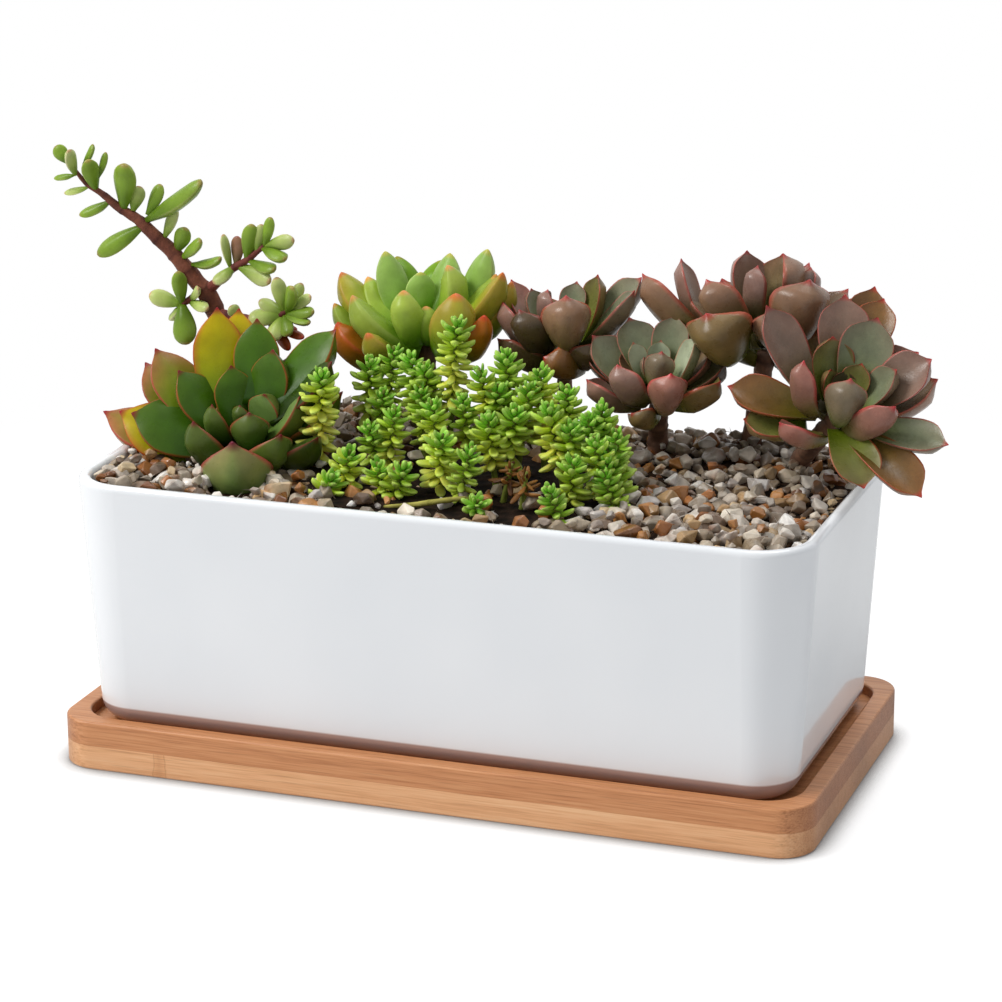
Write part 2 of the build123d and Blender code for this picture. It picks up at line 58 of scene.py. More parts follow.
# Top of the gravel in the middle of the pot, its rise towards the back, and the outline of the bed
GRAVEL_LEVEL = 63.0
GRAVEL_SLOPE = 0.0594
BED_HALF_LENGTH = 79.3
BED_HALF_WIDTH = 36.6
BED_CORNER = 10.0


# Camera
azimuth, elevation, roll = radians(CAMERA_AZIMUTH), radians(CAMERA_ELEVATION), radians(CAMERA_ROLL)
view_back = Vector((sin(azimuth) * cos(elevation), -cos(azimuth) * cos(elevation), sin(elevation)))
level_right = Vector((cos(azimuth), sin(azimuth), 0))
level_up = view_back.cross(level_right)
view_right = level_right * cos(roll) + level_up * sin(roll)
view_up = level_up * cos(roll) - level_right * sin(roll)
view_point = CAMERA_TARGET + view_back * CAMERA_DISTANCE


def pixel_point(u, v, y):
    """The point seen at a pixel, at a distance y behind the middle of the pot."""
    across = (u - IMAGE_SIZE / 2) / FOCAL_PIXELS
    down = (v - IMAGE_SIZE / 2) / FOCAL_PIXELS
    ray = view_right * across - view_up * down - view_back
    return view_point + ray * ((y - view_point.y) / ray.y)


lens = bpy.data.cameras.new("photo_camera")
lens.sensor_width = SENSOR_WIDTH
lens.lens = FOCAL_PIXELS / IMAGE_SIZE * SENSOR_WIDTH
camera = bpy.data.objects.new("photo_camera", lens)
turned = Matrix((view_right, view_up, view_back)).transposed().to_4x4()
camera.matrix_world = Matrix.Translation(view_point * MM) @ turned
scene.collection.objects.link(camera)
scene.camera = camera


# Colours
def rgb(red, green, blue):
    """A screen colour, 0 to 255, as linear light on the sRGB curve."""
    values = []
    for value in (red, green, blue):
        share = value / 255
        values.append(share / 12.92 if share <= 0.04045 else ((share + 0.055) / 1.055) ** 2.4)
    return tuple(values)


def blend(first, second, share):
    return tuple(a + (b - a) * share for a, b in zip(first, second))


def ease(value, low, high):
    """0 below low, 1 above high, smooth between."""
    share = min(max((value - low) / (high - low), 0), 1)
    return share * share * (3 - 2 * share)


def follow(profile, place):
    """The height of a profile at a place along it, straight between its points."""
    for (x0, y0), (x1, y1) in zip(profile, profile[1:]):
        if place <= x1:
            share = (place - x0) / (x1 - x0)
            return y0 + (y1 - y0) * share
    return profile[-1][1]


# Mesh gathering
class Surface:
    """Points, faces and point colours of one piece, in millimetres."""

    def __init__(self):
        self.points = []
        self.faces = []
        self.tints = []

    def point(self, place, tint):
        self.points.append(place * MM)
        self.tints.append(tint)
        return len(self.points) - 1

    def skin(self, rings, tints, start, start_tint, end, end_tint):
        """Closed rings of points joined in a row, drawn in to a point at each end."""
        rows = [[self.point(p, t) for p, t in zip(ring, row)] for ring, row in zip(rings, tints)]
        first = self.point(start, start_tint)
        last = self.point(end, end_tint)
        count = len(rows[0])
        for k in range(count):
            n = (k + 1) % count
            self.faces.append((first, rows[0][n], rows[0][k]))
            self.faces.append((last, rows[-1][k], rows[-1][n]))
            for low, high in zip(rows, rows[1:]):
                self.faces.append((low[k], low[n], high[n], high[k]))

    def piece(self, name, look, body, slot, *nodes, smooth=True):
        """Makes the piece with its material, ties it to a body and hides the solids it stands for."""
        mesh = bpy.data.meshes.new(name)
        mesh.from_pydata(self.points, [], self.faces)
        layer = mesh.color_attributes.new("tint", "FLOAT_COLOR", "POINT")
        flat = [channel for tint in self.tints for channel in (*tint, 1.0)]
        layer.data.foreach_set("color", flat)
        mesh.polygons.foreach_set("use_smooth", [smooth] * len(mesh.polygons))
        mesh.materials.append(look)
        mesh.update()
        made = bpy.data.objects.new(name, mesh)
        scene.collection.objects.link(made)
        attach(made, body)
        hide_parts(*nodes)


# Leaves: share of the greatest width along the leaf
POINTED = ((0, 0.6), (0.18, 0.78), (0.36, 0.93), (0.52, 1), (0.64, 0.97), (0.74, 0.84), (0.82, 0.64),
           (0.88, 0.43), (0.92, 0.26), (0.955, 0.13), (0.985, 0.06), (1, 0.015))
PLUMP = ((0, 0.6), (0.15, 0.72), (0.35, 0.9), (0.5, 1), (0.62, 0.99), (0.74, 0.88), (0.84, 0.68),
         (0.91, 0.47), (0.96, 0.27), (0.985, 0.14), (1, 0.04))
SPOON = ((0, 0.46), (0.16, 0.62), (0.36, 0.84), (0.54, 0.98), (0.66, 1), (0.76, 0.94), (0.83, 0.8),
         (0.88, 0.58), (0.92, 0.34), (0.956, 0.15), (0.985, 0.06), (1, 0.015))
EGG = ((0, 0.3), (0.12, 0.46), (0.3, 0.74), (0.5, 0.95), (0.66, 1), (0.8, 0.9), (0.9, 0.68),
       (0.96, 0.44), (0.99, 0.22), (1, 0.08))
PAD = ((0, 0.5), (0.2, 0.78), (0.45, 1), (0.66, 0.98), (0.82, 0.82), (0.93, 0.52), (1, 0.2))
# Cuts crowd towards the tip; a leaf is at its thickest until it narrows, thins to the tip and rounds its back
CROWDING, FULL_DEPTH, TIP_THINNING, BACK_POWER = 1.5, 1.2, 0.3, 0.8
# Breadth, thickness and lift of the edges go by the width; the crown is the share of the thickness on top
Shape = namedtuple("Shape", "outline breadth thickness trough keel crown stations across")
GREEN_SHAPE = Shape(POINTED, 1, 0.6, 0.18, 2.0, 0.28, 16, 8)
PLUMP_SHAPE = Shape(PLUMP, 1, 0.8, 0.04, 2.4, 0.32, 16, 8)
BRONZE_SHAPE = Shape(SPOON, 1, 0.44, 0.4, 2.0, 0.12, 16, 8)
BUSH_SHAPE = Shape(EGG, 0.92, 0.66, 0.04, 2.2, 0.42, 12, 6)
SEDUM_SHAPE = Shape(PAD, 1, 0.72, 0.1, 2.0, 0.3, 7, 4)


def leaf(surface, base, tip, up, width, shape, bow, paint, roll=0.0):
    """A thick leaf from base to tip, its upper face towards up, bowed away from up."""
    across = shape.across
    chord = tip - base
    along = chord.normalized()
    normal = (up - along * up.dot(along)).normalized()
    if roll:
        normal = Matrix.Rotation(radians(roll), 3, along) @ normal
    bend = (base + tip) / 2 - normal * (bow * chord.length)
    side = along.cross(normal)
    rings, tints = [], []
    for station in range(shape.stations):
        s = 1 - (1 - station / shape.stations) ** CROWDING
        centre = base * (1 - s) ** 2 + bend * (2 * s * (1 - s)) + tip * s**2
        heading = ((bend - base) * (1 - s) + (tip - bend) * s).normalized()
        face = side.cross(heading).normalized()
        share = follow(shape.outline, s)
        half = shape.breadth * width / 2 * share
        deep = shape.thickness * width * min(1, share * FULL_DEPTH) * (1 - TIP_THINNING * s * s)
        ring, row = [], []
        for k in range(2 * across):
            top = k < across
            t = -cos(pi * k / across) if top else cos(pi * (k - across) / across)
            lift = shape.trough * half * t * t
            if top:
                bulge = shape.crown * deep * (1 - t * t)
            else:
                bulge = (shape.crown - 1) * deep * (1 - abs(t) ** shape.keel) ** BACK_POWER
            ring.append(centre + side * (half * t) + face * (lift + bulge))
            row.append(paint(s, t, top))
        rings.append(ring)
        tints.append(row)
    surface.skin(rings, tints, base, paint(0, 0, True), tip, paint(1, 0, True))


# Shares of a leaf's length over which its colours come in, and how leaves differ
FOOT_FADE, BLUSH_FADE, MARGIN_FADE, POINT_FADE = (0.1, 0.62), (0.55, 1.15), (0.1, 0.5), (0.92, 0.98)
BLUSH_SIDES, BLUSH_REACH, LEAF_LIGHT = 0.25, (0.8, 1.2), (0.88, 1.12)


class Look:
    """How a leaf is coloured: upper face, back, foot, blush towards the tip, margin and point."""

    def __init__(self, face, back, foot, blush, edge, point, blush_share=0.35, edge_width=0.1):
        self.face, self.back, self.foot, self.blush = rgb(*face), rgb(*back), rgb(*foot), rgb(*blush)
        self.edge, self.point = rgb(*edge), rgb(*point)
        self.blush_share = blush_share
        self.edge_width = edge_width

    def painter(self, draws):
        """A leaf's own colouring, a little lighter or darker than the next leaf."""
        light = draws.uniform(*LEAF_LIGHT)
        reach = draws.uniform(*BLUSH_REACH)

        def paint(s, t, top):
            colour = blend(self.foot, self.face if top else self.back, ease(s, *FOOT_FADE))
            glow = ease(s + BLUSH_SIDES * abs(t), *BLUSH_FADE) * self.blush_share * reach
            colour = blend(colour, self.blush, min(glow, 1))
            margin = ease(abs(t), 1 - self.edge_width, 1) * ease(s, *MARGIN_FADE)
            colour = blend(colour, self.edge, margin)
            colour = blend(colour, self.point, ease(s, *POINT_FADE))
            return tuple(channel * light for channel in colour)

        return paint


def looks(**rows):
    """Looks by name, from rows of colours, share of blush and width of the margin."""
    return {name: Look(*row) for name, row in rows.items()}


# Material helpers; the mix node's sockets for colours are known by number
MIX_FACTOR, MIX_FIRST, MIX_SECOND, MIX_RESULT = 0, 6, 7, 2
FINE_BUMP = 0.0003


def put(tree, kind, inputs=None, **settings):
    """Adds a node; an input is a value or another node's output."""
    made = tree.nodes.new("ShaderNode" + kind)
    for name, value in settings.items():
        setattr(made, name, value)
    for name, value in (inputs or {}).items():
        if isinstance(value, bpy.types.NodeSocket):
            tree.links.new(value, made.inputs[name])
        else:
            made.inputs[name].default_value = value
    return made


def ramp(tree, factor, stops):
    """A colour ramp with the given places and linear colours."""
    made = put(tree, "ValToRGB", {"Fac": factor})
    bar = made.color_ramp.elements
    while len(bar) < len(stops):
        bar.new(0.5)
    for element, (place, colour) in zip(bar, stops):
        element.position = place
        element.color = (*colour, 1)
    return made.outputs["Color"]


def mixed(tree, factor, first, second, kind="MIX"):
    made = tree.nodes.new("ShaderNodeMix")
    made.data_type = "RGBA"
    made.blend_type = kind
    for number, value in ((MIX_FACTOR, factor), (MIX_FIRST, first), (MIX_SECOND, second)):
        socket = made.inputs[number]
        if isinstance(value, bpy.types.NodeSocket):
            tree.links.new(value, socket)
        else:
            socket.default_value = value if isinstance(value, float) else (*value, 1)
    return made.outputs[MIX_RESULT]


def math_node(tree, operation, first, second):
    made = put(tree, "Math", {0: first, 1: second}, operation=operation)
    return made.outputs[0]


def blank(name, **settings):
    """A new material with its shader's own values set."""
    made = bpy.data.materials.new(name)
    made.use_nodes = True
    tree = made.node_tree
    shader = tree.nodes["Principled BSDF"]
    for key, value in settings.items():
        shader.inputs[key.replace("_", " ")].default_value = value
    place = put(tree, "TexCoord").outputs["Object"]
    return made, tree, shader, place


def link(tree, output, shader, name):
    tree.links.new(output, shader.inputs[name])


def grey(level):
    return (level,) * 3


def stretched(tree, place, scale):
    return put(tree, "Mapping", {"Vector": place, "Scale": scale}).outputs[0]


def grain(tree, place, scale, detail=3.0, rough=0.55):
    inputs = {"Vector": place, "Scale": scale, "Detail": detail, "Roughness": rough}
    return put(tree, "TexNoise", inputs).outputs["Fac"]


def bumped(tree, shader, height, strength, distance):
    made = put(tree, "Bump", {"Strength": strength, "Distance": distance, "Height": height})
    tree.links.new(made.outputs[0], shader.inputs["Normal"])


def tinted_material(name, mottling, bump, rough, **settings):
    """A material coloured by the piece's own tints.

    Mottling is a spread and a scale, the fine bump a strength and a scale, rough a low and a high end.
    """
    spread, scale = mottling
    strength, bump_scale = bump
    made, tree, shader, place = blank(name, **settings)
    tint = put(tree, "Attribute", attribute_name="tint").outputs["Color"]
    mottle = ramp(tree, grain(tree, place, scale), ((0.25, grey(1 - spread)), (0.75, grey(1 + spread))))
    link(tree, mixed(tree, 1.0, tint, mottle, "MULTIPLY"), shader, "Base Color")
    uneven = grain(tree, place, bump_scale / 3)
    gloss = ramp(tree, uneven, ((0.3, grey(rough[0])), (0.7, grey(rough[1]))))
    link(tree, gloss, shader, "Roughness")
    bumped(tree, shader, grain(tree, place, bump_scale), strength, FINE_BUMP)
    return made


leaf_look = tinted_material("waxy_leaf", (0.16, 260), (0.1, 1500), (0.24, 0.4), Specular_IOR_Level=0.18,
                            Subsurface_Weight=0.08, Subsurface_Radius=(0.0012, 0.0018, 0.0006))
bloom_look = tinted_material("bloomed_leaf", (0.22, 280), (0.14, 1800), (0.22, 0.4), Specular_IOR_Level=0.3,
                             Subsurface_Weight=0.05, Subsurface_Radius=(0.0015, 0.0008, 0.0006))
sprig_look = tinted_material("sedum_leaf", (0.14, 500), (0.08, 2500), (0.32, 0.48), Specular_IOR_Level=0.16,
                             Subsurface_Weight=0.28, Subsurface_Radius=(0.001, 0.0014, 0.0004))
bark_look = tinted_material("bark", (0.35, 500), (0.6, 1300), (0.6, 0.8), Specular_IOR_Level=0.3)
stone_look = tinted_material("quartz_pebble", (0.3, 420), (0.3, 1500), (0.22, 0.5), Specular_IOR_Level=0.5,
                             Subsurface_Weight=0.2, Subsurface_Radius=(0.001, 0.0009, 0.0008))


# Glaze, bamboo and soil
# Heights between which the glaze ends above the bare foot
FOOT_BAND = (13.0, 13.4)
# Scales of the bamboo's fibres, streaks, strips and bundles of fibres along each axis
FIBRES, STREAKS = (70, 2800, 2800), (14, 650, 650)
STRIPS, BUNDLES = (1.5, 55, 40), (60, 1500, 1500)
END_GRAIN = (0.66, 0.6, 0.56)
# Where the cane has a joint, how far that wanders, how sharp it is, and its shade outwards from the middle
JOINTS_AT, JOINT_WANDER, JOINT_SHARPNESS = (-60.0,), 3.0, 500.0
JOINT_BAND = ((0.0, (0.86, 0.8, 0.74)), (0.5, (0.94, 0.9, 0.86)), (0.55, (0.76, 0.68, 0.6)), (0.7, (1, 1, 1)))


def glaze_material():
    made, tree, shader, place = blank("white_glaze", Roughness=0.1, Coat_Weight=0.35, Coat_Roughness=0.04)
    cloud = grain(tree, place, 22, 2)
    colour = ramp(tree, cloud, ((0.3, rgb(233, 236, 240)), (0.7, rgb(240, 242, 245))))
    height = put(tree, "SeparateXYZ", {"Vector": place}).outputs["Z"]
    low, high = FOOT_BAND
    bare = put(tree, "MapRange", {"Value": height, "From Min": high * MM, "From Max": low * MM})
    colour = mixed(tree, bare.outputs[0], colour, rgb(178, 152, 145))
    link(tree, colour, shader, "Base Color")
    bumped(tree, shader, grain(tree, place, 90, 2), 0.05, 0.0006)
    return made


def bamboo_material(name, dark, mid, light, joints):
    """Solid bamboo: fibres along X, so that the ends show them as dots, in strips side by side."""
    made, tree, shader, place = blank(name, Specular_IOR_Level=0.4, Coat_Weight=0.12, Coat_Roughness=0.3)
    fibre = grain(tree, stretched(tree, place, FIBRES), 1, 3, 0.6)
    streak = grain(tree, stretched(tree, place, STREAKS), 1, 3)
    strip = grain(tree, stretched(tree, place, STRIPS), 1, 0)
    fine, coarse = math_node(tree, "MULTIPLY", fibre, 0.6), math_node(tree, "MULTIPLY", streak, 0.4)
    both = math_node(tree, "ADD", fine, coarse)
    colour = ramp(tree, both, ((0.26, dark), (0.5, mid), (0.74, light)))
    shade = ramp(tree, strip, ((0.35, (0.86, 0.84, 0.82)), (0.65, (1.06, 1.05, 1.04))))
    colour = mixed(tree, 1.0, colour, shade, "MULTIPLY")
    bundle = put(tree, "TexVoronoi", {"Vector": stretched(tree, place, BUNDLES), "Scale": 1.0})
    dots = ramp(tree, bundle.outputs["Distance"], ((0.1, (0.55, 0.48, 0.42)), (0.28, (1, 1, 1))))
    colour = mixed(tree, 0.4, colour, dots, "MULTIPLY")
    along = put(tree, "SeparateXYZ", {"Vector": place}).outputs["X"]
    for at in joints:
        wander = math_node(tree, "MULTIPLY", grain(tree, place, 160, 2), JOINT_WANDER * MM)
        gap = math_node(tree, "ADD", along, wander)
        gap = math_node(tree, "SUBTRACT", gap, (at + JOINT_WANDER / 2) * MM)
        gap = math_node(tree, "MULTIPLY", math_node(tree, "ABSOLUTE", gap, 0.0), JOINT_SHARPNESS)
        colour = mixed(tree, 1.0, colour, ramp(tree, gap, JOINT_BAND), "MULTIPLY")
    normal = put(tree, "TexCoord").outputs["Normal"]
    facing = put(tree, "SeparateXYZ", {"Vector": normal}).outputs["X"]
    facing = math_node(tree, "ABSOLUTE", facing, 0.0)
    end_grain = ramp(tree, facing, ((0.3, (1, 1, 1)), (0.9, END_GRAIN)))
    colour = mixed(tree, 1.0, colour, end_grain, "MULTIPLY")
    link(tree, colour, shader, "Base Color")
    gloss = ramp(tree, fibre, ((0.3, grey(0.5)), (0.7, grey(0.36))))
    link(tree, gloss, shader, "Roughness")
    bumped(tree, shader, fibre, 0.18, 0.0004)
    return made


def crumbly_material(name, dark, light, scale, strength):
    """Soil, roots and grit: crumbs of two colours with a deep bump."""
    made, tree, shader, place = blank(name, Roughness=0.85, Specular_IOR_Level=0.08)
    crumbs = put(tree, "TexVoronoi", {"Vector": place, "Scale": scale})
    fine = grain(tree, place, scale * 2, 4)
    both = math_node(tree, "MULTIPLY", crumbs.outputs["Distance"], fine)
    link(tree, ramp(tree, both, ((0.1, dark), (0.45, light))), shader, "Base Color")
    bumped(tree, shader, both, strength, 0.001)
    return made


def mesh_material():
    made, tree, shader, place = blank("moulded_net", Specular_IOR_Level=0.4)
    fine = grain(tree, place, 900, 2)
    colour = ramp(tree, fine, ((0.3, rgb(22, 22, 23)), (0.7, rgb(34, 34, 36))))
    link(tree, colour, shader, "Base Color")
    link(tree, ramp(tree, fine, ((0.3, grey(0.45)), (0.7, grey(0.6)))), shader, "Roughness")
    bumped(tree, shader, fine, 0.1, 0.0002)
    return made


def dress(node, look):
    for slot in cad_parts[node].material_slots:
        slot.material = look


dark_bamboo = bamboo_material("bamboo_dark", rgb(158, 96, 54), rgb(204, 140, 92), rgb(220, 162, 114), ())
light_bamboo = bamboo_material("bamboo_light", rgb(200, 142, 92), rgb(234, 178, 130), rgb(246, 202, 156),
                               JOINTS_AT)
# Potting soil taken near black, past its own dark brown: partly painted shade between the sedum sprigs
soil = crumbly_material("potting_soil_painted_shade", rgb(14, 10, 7), rgb(46, 33, 25), 320, 0.8)
roots = crumbly_material("root_ball", rgb(40, 30, 22), rgb(96, 76, 56), 500, 0.7)
# The gravel bed is near black: painted shade for the gaps between the stones
grit = crumbly_material("grit_painted_gap_shade", rgb(14, 9, 6), rgb(72, 52, 38), 420, 1.0)
dress("pot", glaze_material())
dress("tray_top_ply", dark_bamboo)
dress("tray_bottom_ply", light_bamboo)
dress("drain_mesh", mesh_material())
dress("potting_mix", soil)
dress("sedum_crown", soil)
dress("gravel_bed", grit)
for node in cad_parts:
    if node.endswith("_root_plug"):
        dress(node, roots)


# Stems
STEM_BARK = (rgb(58, 34, 24), rgb(136, 100, 78))
BUSH_BARK = (rgb(62, 24, 18), rgb(142, 84, 62))
TWIG_BARK = (rgb(72, 20, 22), rgb(136, 74, 60))
STALK_GREEN = (rgb(84, 96, 30), rgb(140, 150, 58))
# Spacing of the rings along a stem, passes that smooth its line, and the knobs and scars of its bark
STEM_STEP, STEM_PASSES = 0.8, 4
KNOB_HEIGHT, KNOB_SCALE = 0.12, 0.6
SCAR_EVERY, SCAR_SWELL, SCAR_SHADE = 6, 0.07, 0.3
BARK_SHADE, BARK_SPREAD, BARK_SCALE = 0.5, 0.6, 0.35
OFF_STEM = Vector((0.3, -0.9, 0.2))


def tube(surface, stops, bark, sides=12):
    """A stem through stops of place and radius, with knobs and leaf scars, in two colours of bark."""
    rings, tints = [], []
    line = []
    for (a, ra), (b, rb) in zip(stops, stops[1:]):
        steps = max(2, int((Vector(b) - Vector(a)).length / STEM_STEP))
        for step in range(steps):
            share = step / steps
            line.append((Vector(a).lerp(Vector(b), share), ra + (rb - ra) * share))
    line.append((Vector(stops[-1][0]), stops[-1][1]))
    for _ in range(STEM_PASSES):
        threes = zip(line, line[1:], line[2:])
        line = [line[0], *(((p[0] + q[0] * 2 + r[0]) / 4, q[1]) for p, q, r in threes), line[-1]]
    for index, (place, radius) in enumerate(line):
        ahead = line[min(index + 1, len(line) - 1)][0] - line[max(index - 1, 0)][0]
        ahead.normalize()
        side = ahead.cross(OFF_STEM).normalized()
        other = ahead.cross(side)
        ring, row = [], []
        scar = index % SCAR_EVERY == 0
        swell = 1 + SCAR_SWELL * scar
        for k in range(sides):
            angle = 2 * pi * k / sides
            out = side * cos(angle) + other * sin(angle)
            bark_at = place + out * radius
            rough = 1 + KNOB_HEIGHT * noise.noise(bark_at * KNOB_SCALE)
            ring.append(place + out * (radius * rough * swell))
            shade = BARK_SHADE + BARK_SPREAD * noise.noise(bark_at * BARK_SCALE) - SCAR_SHADE * scar
            row.append(blend(*bark, min(max(shade, 0), 1)))
        rings.append(ring)
        tints.append(row)
    surface.skin(rings, tints, line[0][0], tints[0][0], line[-1][0], tints[-1][0])


# Rosettes
GREEN_LOOKS = looks(
    deep=((62, 98, 14), (84, 98, 26), (36, 68, 2), (86, 106, 24), (168, 84, 40), (126, 30, 34), 0.35, 0.05),
    olive=((66, 98, 24), (82, 104, 40), (42, 70, 8), (94, 98, 44), (150, 66, 46), (116, 26, 36), 0.4, 0.05),
    grey=((88, 122, 46), (112, 148, 74), (84, 122, 44), (158, 100, 82), (164, 62, 58), (110, 22, 44),
          0.55, 0.06),
    gold=((166, 162, 10), (158, 140, 20), (104, 134, 6), (196, 148, 14), (184, 72, 38), (150, 32, 40),
          0.55, 0.14),
    rosy=((116, 132, 28), (120, 124, 40), (84, 114, 14), (166, 98, 66), (176, 70, 60), (150, 34, 44),
          0.8, 0.08),
    pale=((98, 124, 62), (92, 104, 36), (66, 92, 22), (112, 126, 66), (158, 66, 46), (130, 34, 38),
          0.3, 0.06),
    dark=((44, 68, 16), (60, 74, 20), (26, 44, 4), (54, 62, 20), (120, 50, 34), (100, 28, 30), 0.4, 0.05),
)
PLUMP_LOOKS = looks(
    pale=((138, 168, 52), (152, 176, 68), (92, 140, 6), (168, 178, 80), (164, 184, 84), (212, 146, 76), 0.4),
    soft=((142, 178, 80), (154, 186, 88), (104, 150, 24), (162, 190, 104), (172, 196, 112), (190, 184, 86),
          0.4),
    warm=((144, 164, 44), (150, 166, 50), (96, 140, 8), (188, 138, 56), (178, 150, 62), (206, 110, 54), 0.55),
    deep=((104, 148, 12), (110, 150, 18), (68, 116, 2), (128, 160, 32), (142, 168, 62), (154, 148, 46), 0.3),
    rust=((160, 108, 24), (152, 106, 22), (112, 116, 8), (190, 92, 32), (190, 92, 38), (190, 66, 30), 0.7),
)
BRONZE_LOOKS = looks(
    back=((128, 112, 80), (128, 100, 74), (84, 84, 26), (148, 108, 88), (180, 84, 66), (170, 52, 48),
          0.5, 0.05),
    grey=((122, 130, 100), (122, 108, 84), (94, 106, 44), (132, 114, 96), (180, 90, 78), (172, 56, 56),
          0.5, 0.05),
    mauve=((134, 112, 96), (140, 110, 98), (90, 84, 44), (152, 114, 102), (182, 88, 76), (174, 52, 52),
           0.6, 0.05),
    pink=((150, 114, 98), (146, 106, 90), (108, 98, 46), (168, 106, 94), (198, 82, 76), (188, 48, 56),
          0.55, 0.07),
    olive=((112, 116, 56), (120, 98, 54), (84, 98, 16), (126, 102, 72), (182, 80, 58), (172, 50, 46),
           0.5, 0.05),
    brown=((116, 88, 44), (120, 84, 42), (84, 78, 18), (144, 92, 54), (186, 84, 52), (176, 52, 44),
           0.5, 0.05),
    # mint: a pale face whose whiteness is partly a painted sheen
    mint=((176, 186, 156), (126, 132, 92), (110, 126, 72), (156, 152, 126), (180, 124, 94), (190, 84, 64),
          0.4, 0.06),
    dark=((74, 72, 44), (80, 64, 42), (48, 48, 18), (86, 68, 48), (146, 68, 52), (136, 46, 42), 0.4, 0.05),
)


# A foot's share of the tip's distance behind the core, how far leaves turn inwards, and their roll
FOOT_DEPTH, INWARD, LEAF_ROLL = 0.25, 0.9, 4
REAR_FOOT, REAR_BOW = 1.5, 0.14
# A stem is sunk in the gravel and narrows upwards
STEM_SUNK, STEM_FOOT, STEM_TOP = 3, 1.15, 0.9


def floor_height(y):
    return GRAVEL_LEVEL + GRAVEL_SLOPE * y


def stem_stops(foot, core, radius):
    x, y = foot
    low = floor_height(y)
    return (((x, y, low - STEM_SUNK), radius * STEM_FOOT), ((x, y, low + STEM_SUNK), radius),
            (core, radius * STEM_TOP))


def rosette(name, node, slot, look, palette, shape, core, lean, leaves, rear, foot, radius, draws):
    """Leaves set by the pixels of tip and foot round a leaning core, more behind, and a stem."""
    axis = Vector(lean).normalized()
    stem = stem_stops(foot, core, radius)
    core = Vector(core)
    surface = Surface()

    def grow(base, tip, width, kind, bow, facing):
        inward = core - (base + tip) / 2
        inward = inward - axis * inward.dot(axis)
        up = axis + inward.normalized() * INWARD
        up = up.normalized() * (1 - abs(facing)) + view_back * facing
        paint = palette[kind].painter(draws)
        roll = draws.uniform(-LEAF_ROLL, LEAF_ROLL)
        leaf(surface, base, tip, up, width, shape, bow, paint, roll)

    for u, v, foot_u, foot_v, depth, width, kind, bow, facing in leaves:
        foot = pixel_point(foot_u, foot_v, core.y + FOOT_DEPTH * depth)
        grow(foot, pixel_point(u, v, core.y + depth), width, kind, bow, facing)
    for angle, reach, height, width, level, kind in rear:
        turn = radians(angle)
        out = Vector((cos(turn), sin(turn), 0))
        base = core + axis * level + out * REAR_FOOT
        grow(base, core + out * reach + axis * height, width, kind, REAR_BOW, 0.0)
    surface.piece(name, look, "planter", slot, node)
    trunk = Surface()
    tube(trunk, stem, STEM_BARK)
    trunk.piece(name + "_stem", bark_look, "planter", slot, node)


draws = Random(SEED)

# Leaves seen in the photograph: pixels of tip and foot, tip's distance behind the core, width, look, bow
# and how far the upper face turns to the viewer. Leaves at the rear: angle round the axis, reach, height,
# width, height of the foot and look
GREEN_LEAVES = (
    (232, 441, 243, 467, -22, 15.8, "grey", 0.46, -0.3),
    (193, 421, 228, 456, -13, 10.5, "olive", 0.24, -0.2),
    (131, 413, 222, 442, -7, 14.4, "deep", 0.1, 0.5),
    (119, 411, 216, 457, -3, 14.5, "gold", 0.1, 0.5),
    (103, 411, 202, 450, 1, 13.0, "rosy", 0.1, 0.2),
    (178, 370, 226, 432, -2, 11.0, "deep", 0.12, 0.4),
    (155, 348, 206, 424, 3, 12.0, "rosy", 0.12, 0.4),
    (145, 362, 196, 428, 7, 11.0, "rosy", 0.1, 0.3),
    (217, 307, 222, 412, 9, 11.8, "gold", 0.08, 0.6),
    (239, 308, 236, 405, 14, 11.0, "gold", 0.08, 0.5),
    (257, 318, 256, 405, 8, 10.5, "deep", 0.1, 0.5),
    (273, 349, 262, 422, 3, 10.5, "deep", 0.12, 0.4),
    (336, 329, 268, 402, 8, 12.0, "deep", 0.1, 0.25),
    (332, 361, 272, 418, 1, 11.5, "dark", 0.1, 0.2),
    (231, 365, 240, 428, 1, 9.4, "deep", 0.14, 0.35),
    (264, 394, 260, 434, -3, 8.6, "pale", 0.2, 0.6),
    (212, 404, 229, 440, -8, 7.0, "olive", 0.2, -0.2),
    (240, 405, 243, 426, -3, 4.8, "olive", 0.12, 0.0),
    (249, 412, 250, 440, -9, 8.8, "olive", 0.26, -0.3),
    (300, 396, 262, 441, -3, 9.5, "pale", 0.14, 0.3),
    (281, 434, 250, 455, -13, 11.0, "olive", 0.24, -0.1),
    (318, 437, 270, 456, -9, 11.0, "dark", 0.16, 0.0),
    (244, 394, 248, 434, 3, 8.8, "olive", 0.12, 0.4),
    (224, 396, 240, 436, 2, 8.0, "deep", 0.12, 0.3),
    (284, 384, 262, 434, 3, 8.6, "deep", 0.12, 0.35),
)
GREEN_REAR = (
    (20, 22, 12, 12, -1, "deep"), (50, 23, 10, 12, -2, "deep"), (80, 18, 14, 13, -2, "rosy"),
    (110, 20, 10, 12, -2, "deep"), (140, 24, 12, 12, -2, "rosy"), (65, 14, 18, 10, 1, "deep"),
    (120, 14, 18, 10, 1, "deep"),
)
